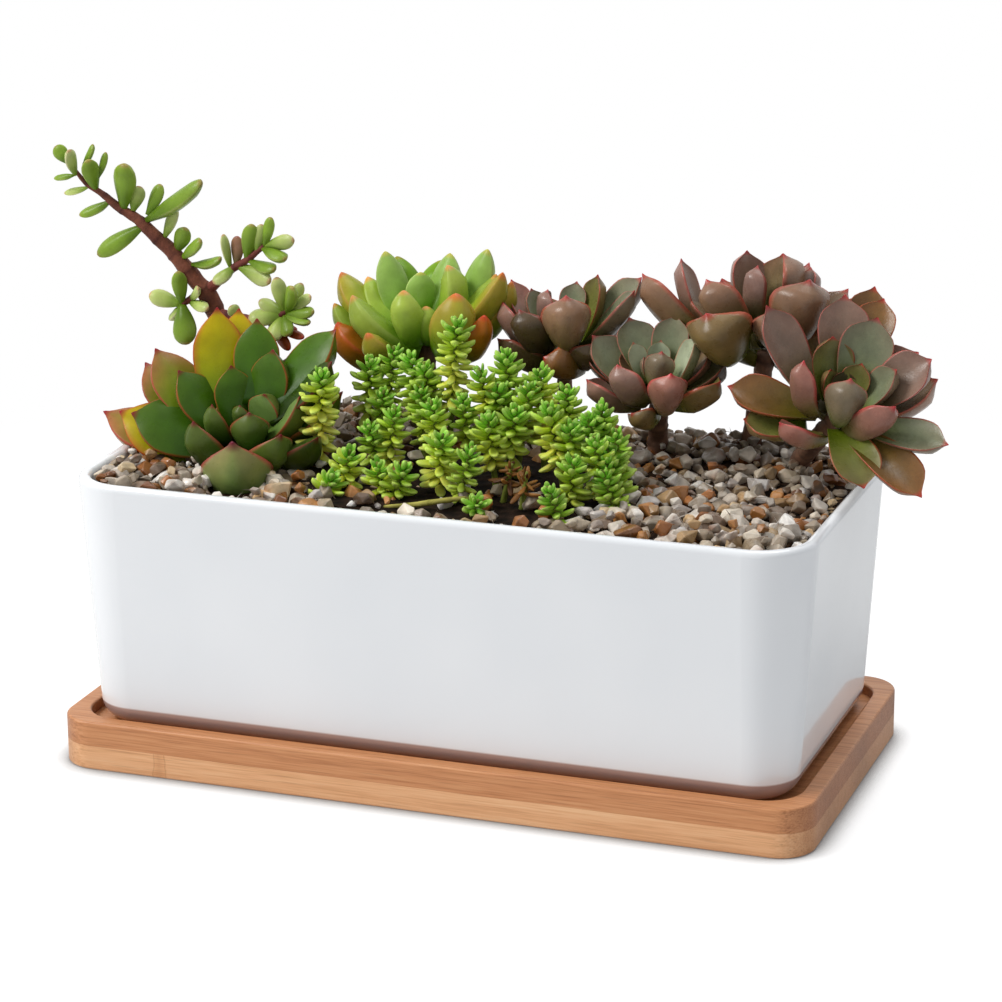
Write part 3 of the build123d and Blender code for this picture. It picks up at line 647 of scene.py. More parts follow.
PLUMP_LEAVES = (
    (385, 251, 406, 327, 6, 7.6, "soft", 0.1, 0.5),
    (397, 256, 412, 322, 11, 9.0, "deep", 0.1, 0.4),
    (441, 260, 432, 318, 12, 9.0, "deep", 0.1, 0.4),
    (488, 249, 456, 328, 6, 7.6, "soft", 0.1, 0.5),
    (503, 272, 449, 333, 0, 8.2, "warm", 0.14, -0.1),
    (447, 265, 442, 328, 0, 8.8, "pale", 0.14, 0.1),
    (421, 272, 422, 318, 2, 7.2, "soft", 0.14, 0.1),
    (404, 290, 419, 338, -6, 8.4, "pale", 0.2, -0.3),
    (456, 293, 444, 347, -9, 10.6, "warm", 0.24, -0.4),
    (341, 272, 396, 333, 3, 9.6, "warm", 0.12, 0.0),
    (352, 295, 420, 350, -5, 9.6, "pale", 0.16, -0.2),
    (334, 303, 382, 346, -1, 6.6, "pale", 0.14, 0.0),
    (368, 333, 402, 354, -12, 8.0, "warm", 0.2, -0.2),
    (484, 315, 464, 352, -7, 7.0, "rust", 0.2, -0.3),
    (337, 322, 388, 357, -4, 10.0, "rust", 0.18, -0.1),
    (512, 281, 470, 340, 3, 7.0, "warm", 0.12, 0.0),
    (426, 306, 428, 338, -4, 6.0, "pale", 0.18, -0.2),
)
PLUMP_REAR = (
    (20, 16, 15, 9.5, 0, "pale"), (55, 17, 13, 10, -1, "pale"), (90, 18, 14, 10, -1, "deep"),
    (125, 17, 13, 10, -1, "pale"), (160, 17, 12, 9.5, -1, "pale"), (75, 10, 18, 8, 3, "soft"),
)
LEFT_LEAVES = (
    (566, 295, 566, 347, -8, 11.2, "back", 0.3, -0.5),
    (548, 289, 553, 328, -2, 6.6, "mauve", 0.16, 0.0),
    (531, 288, 545, 333, 2, 5.8, "grey", 0.12, 0.3),
    (577, 281, 568, 328, 5, 6.4, "grey", 0.12, 0.3),
    (598, 274, 580, 342, 3, 7.2, "olive", 0.12, 0.3),
    (635, 290, 578, 346, -2, 8.0, "grey", 0.1, 0.25),
    (642, 277, 580, 342, 4, 9.0, "grey", 0.1, 0.4),
    (511, 279, 536, 337, 5, 7.0, "pink", 0.12, 0.1),
    (502, 301, 545, 347, -2, 9.0, "mauve", 0.18, -0.2),
    (519, 309, 550, 347, -7, 10.0, "dark", 0.24, -0.3),
    (497, 338, 556, 363, -5, 9.0, "dark", 0.16, -0.2),
    (543, 357, 581, 366, -9, 9.4, "brown", 0.2, -0.3),
    (593, 343, 576, 362, -7, 8.4, "dark", 0.16, -0.1),
)
LEFT_REAR = (
    (30, 13, 10, 9, -1, "back"), (65, 13, 11, 9, -1, "back"), (100, 13, 10, 9, -1, "mauve"),
    (135, 13, 11, 9, -1, "back"), (80, 8, 13, 7.5, 2, "grey"),
)
SMALL_LEAVES = (
    (629, 317, 648, 380, 6, 9.2, "grey", 0.1, 0.5),
    (676, 314, 662, 380, 6, 8.2, "grey", 0.1, 0.5),
    (592, 335, 641, 394, 0, 9.2, "grey", 0.12, 0.35),
    (586, 379, 641, 404, -6, 8.4, "mauve", 0.18, -0.2),
    (617, 364, 646, 400, -8, 9.2, "mauve", 0.24, -0.3),
    (633, 342, 645, 384, 0, 4.8, "mint", 0.1, 0.4),
    (661, 340, 655, 378, 2, 5.2, "mint", 0.12, 0.3),
    (662, 351, 655, 390, -3, 6.8, "grey", 0.2, -0.2),
    (644, 357, 650, 382, -1, 3.4, "grey", 0.1, 0.0),
    (671, 373, 662, 407, -10, 8.8, "pink", 0.3, -0.5),
    (696, 337, 668, 392, -1, 6.8, "mint", 0.1, 0.2),
    (721, 381, 668, 402, -5, 9.2, "olive", 0.14, -0.1),
    (727, 362, 672, 394, 2, 9.2, "dark", 0.1, 0.1),
    (631, 413, 656, 414, -8, 7.4, "olive", 0.3, -0.3),
    (589, 350, 636, 392, 4, 8.4, "dark", 0.1, 0.1),
)
SMALL_REAR = (
    (40, 12, 9, 9, -1, "back"), (75, 13, 8, 9, -1, "back"), (110, 12, 9, 9, -1, "mauve"),
    (145, 12, 8, 9, -1, "back"),
)
BACK_LEAVES = (
    (642, 273, 712, 337, -2, 11.4, "back", 0.12, -0.2),
    (681, 258, 706, 332, 5, 7.6, "mauve", 0.1, -0.1),
    (706, 279, 749, 331, -6, 11.2, "back", 0.18, -0.3),
    (747, 250, 750, 318, 6, 9.6, "mauve", 0.14, 0.1),
    (783, 253, 770, 322, 4, 14.6, "back", 0.18, -0.1),
    (758, 265, 760, 322, 0, 7.4, "mauve", 0.18, 0.0),
    (810, 279, 786, 337, -6, 14.0, "back", 0.26, -0.4),
    (811, 267, 796, 318, 9, 8.4, "mauve", 0.12, 0.0),
    (706, 313, 738, 344, -15, 15.4, "olive", 0.32, -0.5),
    (771, 309, 776, 347, -10, 9.4, "back", 0.26, -0.4),
)
BACK_REAR = (
    (15, 21, 13, 13, -1, "back"), (45, 20, 12, 13, -1, "back"), (75, 20, 12, 13, -1, "back"),
    (105, 20, 12, 13, -1, "mauve"), (135, 21, 12, 13, -1, "back"), (165, 21, 12, 13, -1, "back"),
    (60, 12, 18, 10, 2, "mauve"), (120, 12, 18, 10, 2, "mauve"),
)
FRONT_LEAVES = (
    (766, 305, 816, 402, 1, 9.8, "mauve", 0.12, 0.35),
    (845, 294, 840, 388, 9, 11.2, "mauve", 0.1, 0.5),
    (878, 317, 848, 398, 6, 11.6, "grey", 0.1, 0.5),
    (875, 286, 850, 372, 16, 9.2, "brown", 0.1, 0.3),
    (884, 298, 856, 372, 14, 9.2, "brown", 0.1, 0.3),
    (833, 336, 830, 400, 2, 9.6, "olive", 0.14, 0.4),
    (932, 359, 862, 407, 2, 10.8, "mauve", 0.1, 0.5),
    (919, 352, 862, 397, 6, 10.2, "mauve", 0.1, 0.4),
    (804, 360, 816, 414, -7, 7.8, "pink", 0.24, -0.3),
    (727, 386, 816, 413, -3, 9.8, "brown", 0.1, 0.4),
    (851, 378, 838, 419, -8, 9.2, "grey", 0.34, -0.5),
    (831, 369, 830, 404, -1, 5.2, "olive", 0.14, 0.1),
    (846, 370, 840, 402, 1, 5.2, "dark", 0.12, 0.2),
    (862, 363, 848, 406, 1, 6.8, "olive", 0.14, 0.3),
    (897, 369, 852, 412, -1, 7.8, "grey", 0.12, 0.4),
    (896, 406, 845, 427, -9, 8.6, "pink", 0.22, -0.4),
    (949, 445, 858, 426, -4, 8.8, "grey", 0.04, 0.4),
    (922, 498, 848, 434, -12, 10.2, "brown", -0.1, 0.4),
    (864, 489, 838, 430, -14, 10.6, "olive", -0.14, 0.5),
    (743, 419, 806, 427, -5, 9.4, "olive", 0.16, 0.2),
    (779, 422, 826, 437, -11, 7.8, "pink", 0.2, -0.2),
)
FRONT_REAR = (
    (30, 20, 8, 12, -2, "back"), (60, 20, 9, 12, -2, "back"), (95, 19, 10, 12, -1, "back"),
    (130, 19, 9, 12, -1, "mauve"), (75, 13, 16, 10, 1, "grey"),
)

rosette("green_rosette", "green_echeveria", "leaf_green", leaf_look, GREEN_LOOKS, GREEN_SHAPE,
        (-54.0, -5.0, 67.0), (0.08, -0.2, 1), GREEN_LEAVES, GREEN_REAR, (-54.5, -3.0), 3.0, draws)
rosette("plump_leaves", "plump_rosette", "leaf_pale_green", leaf_look, PLUMP_LOOKS, PLUMP_SHAPE,
        (-21.5, 22.5, 86.0), (0.02, -0.06, 1), PLUMP_LEAVES, PLUMP_REAR, (-21.0, 23.5), 2.2, draws)
# Bronze rosettes: core, lean, leaves, foot and radius of the stem
BRONZE_ROSETTES = {
    "left": ((11.0, 23.5, 85.0), (0, -0.05, 1), LEFT_LEAVES, LEFT_REAR, (10.5, 25.0), 1.8),
    "small": ((35.0, 16.0, 81.0), (0.1, -0.3, 1), SMALL_LEAVES, SMALL_REAR, (32.5, 24.0), 2.2),
    "back": ((56.0, 27.0, 88.0), (0, 0.1, 1), BACK_LEAVES, BACK_REAR, (52.5, 28.5), 2.2),
    "front": ((77.0, 8.0, 81.0), (0.28, -0.28, 1), FRONT_LEAVES, FRONT_REAR, (66.0, 19.0), 2.2),
}
for place, row in BRONZE_ROSETTES.items():
    rosette(f"bronze_{place}_leaves", f"bronze_rosette_{place}", "leaf_bronze", bloom_look, BRONZE_LOOKS,
            BRONZE_SHAPE, *row, draws)

# Elephant bush: woody stem and twigs by pixel, distance and radius
BUSH_STEM = (
    (209, 295, 23.5, 2.2), (198, 283, 23, 2.0), (186, 268, 22.5, 1.85), (170, 249, 22, 1.7),
    (152, 233, 21, 1.5), (138, 219, 20, 1.25), (116, 206, 19, 1.0), (102, 193, 18, 0.75), (86, 184, 17, 0.6),
    (76, 171, 16, 0.45),
)
BUSH_FOOT = (((-67.0, 25.0, 60.0), 2.4), ((-67.0, 25.0, 70.0), 2.3))
BUSH_TWIGS = (
    ((208, 290, 23.5, 1.3), (221, 279, 22, 1.1), (233, 268, 21, 0.9), (246, 261, 20.5, 0.8),
     (264, 246, 20, 0.55)),
    ((200, 290, 23.2, 0.9), (191, 300, 22, 0.8), (182, 304, 21, 0.7)),
    ((214, 312, 24, 1.2), (240, 318, 21, 1.1), (268, 322, 19, 1.0), (284, 314, 18, 0.8),
     (289, 308, 18, 0.5)),
)
BUSH_LOOKS = looks(
    leaf=((120, 150, 48), (142, 168, 74), (92, 122, 28), (138, 162, 62), (164, 180, 92), (150, 138, 72),
          0.4, 0.08),
    pale=((170, 188, 102), (180, 194, 122), (118, 146, 50), (194, 202, 138), (214, 210, 164), (188, 156, 112),
          0.6, 0.14),
    rosy=((150, 112, 88), (160, 122, 100), (112, 96, 56), (164, 116, 94), (170, 114, 92), (150, 92, 76),
          0.5, 0.1),
    dry=((140, 62, 34), (150, 74, 42), (96, 44, 26), (168, 74, 38), (188, 92, 56), (150, 40, 34), 0.6, 0.1),
)
# Pixels of the leaf's foot and tip, distance of the foot, how far the tip is behind it, width, look
BUSH_LEAVES = (
    (69, 163, 55, 146, 16, 0, 3.9, "leaf"), (76, 175, 69, 150, 16, -3, 3.9, "pale"),
    (83, 165, 93, 144, 16.5, 1, 2.6, "leaf"), (98, 178, 106, 152, 17.5, 1, 2.4, "leaf"),
    (96, 190, 88, 160, 17.5, -3, 4.6, "leaf"), (74, 175, 54, 178, 16, 0.5, 2.3, "leaf"),
    (88, 187, 64, 193, 17, 0.5, 2.2, "pale"), (110, 201, 79, 215, 18.5, -1, 3.4, "leaf"),
    (123, 209, 124, 164, 19, -2, 6.4, "leaf"), (133, 211, 140, 186, 19.5, 1.5, 4.0, "pale"),
    (146, 220, 202, 181, 20.5, -2, 6.0, "leaf"), (147, 215, 161, 184, 20.5, 2, 4.0, "leaf"),
    (164, 238, 176, 207, 21.5, 0.5, 3.8, "pale"), (143, 226, 97, 255, 20, -2, 5.0, "leaf"),
    (176, 252, 186, 228, 22, -1, 4.4, "leaf"), (182, 258, 201, 240, 22, -2, 4.0, "leaf"),
    (192, 264, 221, 258, 22.4, -2, 3.8, "leaf"), (181, 304, 149, 294, 21, -1, 4.6, "pale"),
    (182, 304, 178, 271, 21, -2, 4.0, "leaf"), (182, 304, 186, 345, 21, -3, 6.4, "leaf"),
    (181, 305, 169, 319, 21, 1, 3.4, "pale"), (189, 301, 208, 309, 22, -3, 3.2, "pale"),
    (189, 300, 198, 288, 22, -3, 2.8, "pale"), (234, 266, 213, 283, 21, -3, 4.0, "pale"),
    (231, 269, 223, 234, 21, -1, 2.9, "pale"), (236, 266, 237, 236, 21, 0.5, 3.6, "rosy"),
    (247, 260, 252, 224, 20.5, -1, 4.4, "leaf"), (257, 252, 262, 224, 20, 0.5, 3.2, "pale"),
    (264, 247, 271, 217, 20, 0, 3.3, "leaf"), (265, 246, 294, 240, 20, -1, 3.9, "pale"),
    (263, 248, 286, 259, 20, -3, 4.4, "leaf"), (249, 260, 275, 269, 20.5, -4, 4.0, "leaf"),
    (238, 266, 270, 282, 20.8, -4, 4.6, "pale"), (262, 248, 250, 232, 20, 2.5, 3.6, "leaf"),
    (285, 313, 276, 277, 18, -1, 4.0, "pale"), (286, 313, 292, 287, 18, -3, 4.4, "leaf"),
    (288, 310, 302, 283, 18, 1.5, 3.2, "pale"), (288, 310, 311, 296, 18, 0, 3.6, "pale"),
    (286, 314, 314, 312, 18, -2, 3.8, "leaf"), (285, 315, 310, 323, 18, -3, 3.2, "leaf"),
    (284, 314, 259, 300, 18, 0.5, 3.8, "pale"), (282, 315, 248, 318, 18.2, -2, 5.4, "pale"),
    (282, 316, 271, 341, 18.2, -4, 4.8, "pale"), (284, 315, 288, 336, 18, -4, 4.0, "leaf"),
    (284, 312, 282, 290, 18, 4, 4.4, "leaf"), (240, 318, 230, 306, 21, -1, 3.4, "pale"),
    (272, 321, 297, 330, 19, -1, 3.0, "dry"), (272, 322, 304, 338, 19, -3, 3.0, "dry"),
    (268, 322, 290, 350, 19, -3, 3.4, "dry"),
)
# How far bush leaves face the viewer and stray from it, their bow and their roll
BUSH_FACING, BUSH_BOW, BUSH_ROLL = 0.8, (0.02, 0.16), 24
BUSH_STRAY = ((-0.5, 0.5), (-0.3, 0.3), (0.1, 0.6))


def threaded(stops):
    """Stops of a stem given by pixel, distance and radius, as places and radii."""
    return tuple((tuple(pixel_point(u, v, y)), radius) for u, v, y, radius in stops)


bush = Surface()
for foot_u, foot_v, tip_u, tip_v, depth, behind, width, kind in BUSH_LEAVES:
    foot = pixel_point(foot_u, foot_v, depth)
    tip = pixel_point(tip_u, tip_v, depth + behind)
    up = view_back * BUSH_FACING + Vector([draws.uniform(*ends) for ends in BUSH_STRAY])
    paint = BUSH_LOOKS[kind].painter(draws)
    bow = draws.uniform(*BUSH_BOW)
    roll = draws.uniform(-BUSH_ROLL, BUSH_ROLL)
    leaf(bush, foot, tip, up, width, BUSH_SHAPE, bow, paint, roll)
bush.piece("bush_leaves", leaf_look, "planter", "leaf_bush", "elephant_bush")
trunk = Surface()
tube(trunk, BUSH_FOOT + threaded(BUSH_STEM), BUSH_BARK, sides=16)
for twig in BUSH_TWIGS:
    tube(trunk, threaded(twig), TWIG_BARK)
trunk.piece("bush_stem", bark_look, "planter", "leaf_bush", "elephant_bush")

# Sedum: pixel of each sprig's tip, its distance, length of the leafy part, how yellow it is, over 1 if dry
SPRIGS = (
    (322, 370, -8, 18, 0.9), (370, 358, 4, 13, 0.3), (394, 346, 6, 15, 0.2), (410, 352, 4, 12, 0.2),
    (424, 362, 2, 14, 0.4), (457, 318, 3, 19, 0.5), (479, 368, -3, 11, 1.0), (506, 350, 2, 15, 0.2),
    (540, 368, 0, 15, 0.9), (566, 386, -4, 12, 0.4), (600, 404, -6, 12, 0.3), (616, 430, -10, 11, 0.1),
    (593, 436, -15, 13, 0.5), (431, 400, -9, 12, 0.6), (395, 408, -8, 12, 0.6), (368, 424, -10, 10, 0.2),
    (443, 434, -18, 12, 0.7), (472, 446, -20, 12, 0.2), (487, 414, -10, 11, 0.7), (516, 408, -8, 11, 0.4),
    (548, 404, -9, 12, 0.8), (350, 450, -19, 9, 1.0), (377, 462, -21, 8, 0.8), (406, 464, -21, 8, 0.4),
    (334, 474, -23, 5, 0.9), (478, 500, -29, 5, 0.0), (547, 486, -27, 7, 0.0), (606, 458, -15, 9, 0.2),
    (530, 382, -3, 11, 0.4), (462, 394, -5, 10, 0.3), (384, 390, 0, 10, 0.2), (572, 424, -11, 9, 0.5),
    (512, 464, -19, 4, 2.0), (527, 472, -21, 4, 2.0), (586, 414, -9, 13, 0.1), (606, 446, -12, 11, 0.0),
    (574, 456, -17, 9, 0.4), (602, 470, -17, 8, 0.1), (420, 386, -2, 11, 0.2), (498, 384, -3, 11, 0.3),
)
SPRIG_TOP, SPRIG_DEEP = rgb(122, 192, 50), rgb(90, 156, 34)
SPRIG_MID, SPRIG_LOW = rgb(204, 218, 52), rgb(246, 238, 112)
SPRIG_TIP = rgb(210, 234, 128)
DRY_DARK, DRY_LIGHT = rgb(70, 40, 16), rgb(164, 112, 56)
# A fallen stalk on the stones in front, by pixel, distance and radius
FALLEN = ((384, 507, -27, 0.4), (414, 505, -27, 0.6), (447, 500, -26, 0.6), (466, 498, -25, 0.4))
FALLEN_BARK = (rgb(120, 116, 44), rgb(176, 168, 84))
# Stalk: stray of the foot, seat, least height, radii and sides
STRAY_X, STRAY_Y = (-4, 4), (0, 5)
STALK_SEAT, STALK_LEAST, STALK_RADII, STALK_SIDES = 0.5, 3, (0.7, 0.6, 0.3), 6
# Leaves along a sprig: turn and step from one to the next, those at the tip, and the crowding towards it
GOLDEN_TURN, LEAF_STEP, TIP_LEAVES, TIP_CROWDING = 2.39996, 0.36, 5, 1.15
VIGOUR, YELLOW_VIGOUR = (0.86, 1.08), 0.14
# They stand up at the tip and sink down the stalk: degrees, and how far down from and to
LEAF_RISE, RISE_SPREAD = 66, 12
LEAF_SINKS = ((34, 0, 2), (34, 1.5, 9), (14, 8, 15))
# Length and width at the tip, their gain below it, from and to where, and their spread
SEDUM_LENGTH, SEDUM_WIDTH = (1.9, 1.8, 0, 3, 0.5), (1.1, 0.75, 0.3, 4, 0.15)
DEEP_FADE, MID_FADE, LOW_FADE = (0.5, 3), (0.8, 4.5), (4, 11)
DRY_DROOP, DRY_SIDEWAYS, DRY_WIDTH = (-1.2, 0.4), (-0.6, 0.6), 0.7
# Bow of a leaf, its light, and how much paler its tip and back are
SEDUM_BOW, SEDUM_LIGHT, PALE_TIP, PALE_FROM, PALE_BACK = (0.02, 0.14), (0.72, 1.14), 0.5, 0.45, 0.12


def sedum_leaf(surface, foot, out, up, length, width, colour, tip_colour, draws):
    """A small fat leaf, blunt and paler at its tip."""
    tip = foot + out * length
    light = draws.uniform(*SEDUM_LIGHT)

    def paint(s, t, top):
        tone = blend(colour, tip_colour, PALE_TIP * ease(s, PALE_FROM, 1) + PALE_BACK * (not top))
        return tuple(channel * light for channel in tone)

    leaf(surface, foot, tip, up, width, SEDUM_SHAPE, draws.uniform(*SEDUM_BOW), paint)


def grown(size, down, draws):
    """A leaf's length or width so far down a sprig."""
    least, gain, low, high, spread = size
    return least + gain * ease(down, low, high) + draws.uniform(-spread, spread)


def sprig(surface, stalks, tip, leafy, yellow, draws):
    """One sprig: a thin stalk from the crown with small leaves round it, a tight star at the tip."""
    foot = Vector((tip.x + draws.uniform(*STRAY_X), tip.y + draws.uniform(*STRAY_Y), 0))
    foot.z = floor_height(foot.y) + STALK_SEAT
    vigour = draws.uniform(*VIGOUR) + YELLOW_VIGOUR * min(yellow, 1)
    height = max(tip.z - foot.z, STALK_LEAST)
    leafy = min(leafy, height)
    axis = (tip - foot).normalized()
    side = axis.orthogonal().normalized()
    other = axis.cross(side)
    tube(stalks, tuple(zip((foot, foot.lerp(tip, 0.5), tip), STALK_RADII)), STALK_GREEN, STALK_SIDES)
    count = int(leafy / LEAF_STEP) + TIP_LEAVES
    start = draws.uniform(0, 6)
    for k in range(count):
        down = leafy * (1 - k / (count - 1)) ** TIP_CROWDING
        turn = start + GOLDEN_TURN * k
        out = side * cos(turn) + other * sin(turn)
        rise = LEAF_RISE
        for sink, low, high in LEAF_SINKS:
            rise -= sink * ease(down, low, high)
        rise = radians(rise + draws.uniform(-RISE_SPREAD, RISE_SPREAD))
        pointing = out * cos(rise) + axis * sin(rise)
        up = axis * cos(rise) - out * sin(rise)
        length = vigour * grown(SEDUM_LENGTH, down, draws)
        width = vigour * grown(SEDUM_WIDTH, down, draws)
        fresh = blend(SPRIG_TOP, SPRIG_DEEP, 0.7 * (1 - yellow) * ease(down, *DEEP_FADE))
        tone = blend(fresh, SPRIG_MID, ease(down, *MID_FADE) * (0.25 + 0.75 * yellow))
        tone = blend(tone, SPRIG_LOW, ease(down, *LOW_FADE) * (0.2 + 0.8 * yellow))
        frost = SPRIG_TIP
        if yellow > 1:
            tone = frost = blend(DRY_DARK, DRY_LIGHT, draws.random())
            pointing = pointing + axis * draws.uniform(*DRY_DROOP) + side * draws.uniform(*DRY_SIDEWAYS)
            pointing.normalize()
            width *= DRY_WIDTH
        place = tip - axis * (down + 1.0) + out * STALK_RADII[0] / 2
        sedum_leaf(surface, place, pointing, up, length, width, tone, frost, draws)


sedum, stalks = Surface(), Surface()
for u, v, depth, leafy, yellow in SPRIGS:
    sprig(sedum, stalks, pixel_point(u, v, depth), leafy, yellow, draws)
tube(stalks, threaded(FALLEN), FALLEN_BARK, STALK_SIDES)
sedum.piece("sedum_leaves", sprig_look, "planter", "leaf_lime", "sedum_sprigs")
stalks.piece("sedum_stalks", bark_look, "planter", "leaf_lime", "sedum_sprigs")

# Pebbles: cut shapes, strewn over the gravel in three colour groups
PEBBLE_KINDS, PEBBLE_TRIES = 14, 44000
PEBBLE_CORNERS, CORNER_REACH, WORN_EDGE = 15, (0.84, 1.0), 0.07
# Share of the tries up to which stones of each range of half-sizes are laid
PEBBLE_SIZES = ((0.35, 2.2, 3.3), (0.65, 1.3, 2.2), (1.0, 0.8, 1.4))
# Slot, colours and share of the stones
PEBBLE_GROUPS = {
    "white": ("pebble_white", ((246, 241, 236), (251, 249, 247), (236, 228, 220), (242, 233, 218)), 0.5),
    "tan": ("pebble_tan", ((228, 194, 148), (212, 152, 88), (190, 124, 62), (234, 212, 176)), 0.28),
    "grey": ("pebble_grey", ((208, 203, 202), (222, 219, 219), (176, 162, 152), (138, 116, 98)), 0.22),
}
STRETCH = ((0.95, 1.3), (0.8, 1.05), (0.65, 0.95))
STONE_TURN, STONE_TILT = (0, 6.28), (-0.7, 0.7)
# Lift of a stone of a half-size, distance from the next by their half-sizes, and cells to find it in
LIFT, LIFT_SIZE, SPACING, CELL = (-1.2, 1.3), 2.4, 0.61, 6
# Lightness of a stone at random, with painted shade darkening the stones towards the back, where the rosettes
# shade them; the darker a stone, the browner, a painted warm tone of shade; rusty stains in patches
LIGHT, BACK_SHADE, BACK_FADE = (0.3, 0.9), 0.26, (-4, 24)
SHADE_BROWNING = (1.0, 1.16, 1.4)
STAIN, STAIN_MOST, STAIN_FROM = rgb(158, 102, 54), 0.8, 0.5
PATCH_SCALE, PATCH_FADE = 0.45, (0.0, 0.4)
# A share of the small stones is pushed to the wall; at the back they hide the bed, proud of the rim there
WALL_SHARE, WALL_STONE, WALL_MARGIN, WALL_SLACK = 0.3, 1.8, 1.06, 0.99
PROUD_FROM, PROUD_MARGIN, PROUD_LIFT = 12.0, 0.3, -0.1
# The last tries lay stones on the others
UPPER_FROM, UPPER_LIFT, UPPER_SIZES, UPPER_MARGIN, UPPER_SPACING = 0.93, 1.9, (1.4, 2.4), 2.2, 1.5
# Few stones lie under the sedum, where soil shows, and none under the green rosette's front leaf
CROWN_X, CROWN_Y, CROWN_HALF_X, CROWN_HALF_Y, CROWN_CUT, CROWN_BARE = -1, -9, 33, 24, 46, 0.985
FRONT_LEAF_AT, FRONT_LEAF_REACH = Vector((-46.5, -27.0)), 6.5
LEFT_HEAP, BACK_HEAP, FRONT_HEAP = 1.2, 2.2, 1.5


def pebble_kind(draws):
    """A broken stone of about a unit's half-size: the hull of a few points on a ball, its edges worn."""
    rock = bmesh.new()
    for _ in range(PEBBLE_CORNERS):
        way = Vector((draws.gauss(0, 1), draws.gauss(0, 1), draws.gauss(0, 1))).normalized()
        rock.verts.new(way * draws.uniform(*CORNER_REACH))
    bmesh.ops.convex_hull(rock, input=rock.verts)
    bmesh.ops.bevel(rock, geom=rock.edges[:], offset=WORN_EDGE, segments=1, affect="EDGES")
    bmesh.ops.triangulate(rock, faces=rock.faces[:])
    bmesh.ops.recalc_face_normals(rock, faces=rock.faces[:])
    corners = sorted(rock.verts, key=lambda corner: tuple(corner.co))
    for index, corner in enumerate(corners):
        corner.index = index
    points = [corner.co.copy() for corner in corners]
    faces = []
    for face in rock.faces:
        ring = [corner.index for corner in face.verts]
        first = ring.index(min(ring))
        faces.append(tuple(ring[first:] + ring[:first]))
    rock.free()
    return points, sorted(faces)


def past_corner(x, y):
    """How far a place lies past the centre of the nearest corner's round, both ways."""
    return abs(x) - (BED_HALF_LENGTH - BED_CORNER), abs(y) - (BED_HALF_WIDTH - BED_CORNER)


def in_bed(x, y, margin):
    """Whether a place is inside the pot's wall by a margin."""
    over_x, over_y = past_corner(x, y)
    if over_x > 0 and over_y > 0:
        return hypot(over_x, over_y) < BED_CORNER - margin
    return abs(x) < BED_HALF_LENGTH - margin and abs(y) < BED_HALF_WIDTH - margin


def beside_wall(x, y, margin):
    """The place beside the pot's wall that is nearest to a place on the bed."""
    over_x, over_y = past_corner(x, y)
    if over_x > 0 and over_y > 0:
        push = (BED_CORNER - margin) / hypot(over_x, over_y) - 1
        return x + copysign(over_x * push, x), y + copysign(over_y * push, y)
    if BED_HALF_LENGTH - abs(x) < BED_HALF_WIDTH - abs(y):
        return copysign(BED_HALF_LENGTH - margin, x), y
    return x, copysign(BED_HALF_WIDTH - margin, y)


def on_crown(x, y):
    """Whether a place is under the sedum, where soil shows between the stalks."""
    along, across = abs(x - CROWN_X), abs(y - CROWN_Y)
    return along < CROWN_HALF_X and across < CROWN_HALF_Y and along + across < CROWN_CUT


def under_front_leaf(x, y):
    """Whether a place is under the green rosette's front leaf, which lies on the bed."""
    return (Vector((x, y)) - FRONT_LEAF_AT).length < FRONT_LEAF_REACH


def heaped(x, y):
    """How far the stones are heaped up: at the left end, along the back on the right and in front."""
    left = ease(-x, 66, 78) * LEFT_HEAP
    back = ease(y, 8, 26) * (1 - ease(y, 28, 36))
    back = back * ease(x, 30, 48) * (1 - ease(x, 62, 76)) * BACK_HEAP
    front = ease(-y, 8, 32) * FRONT_HEAP
    return left + back + front


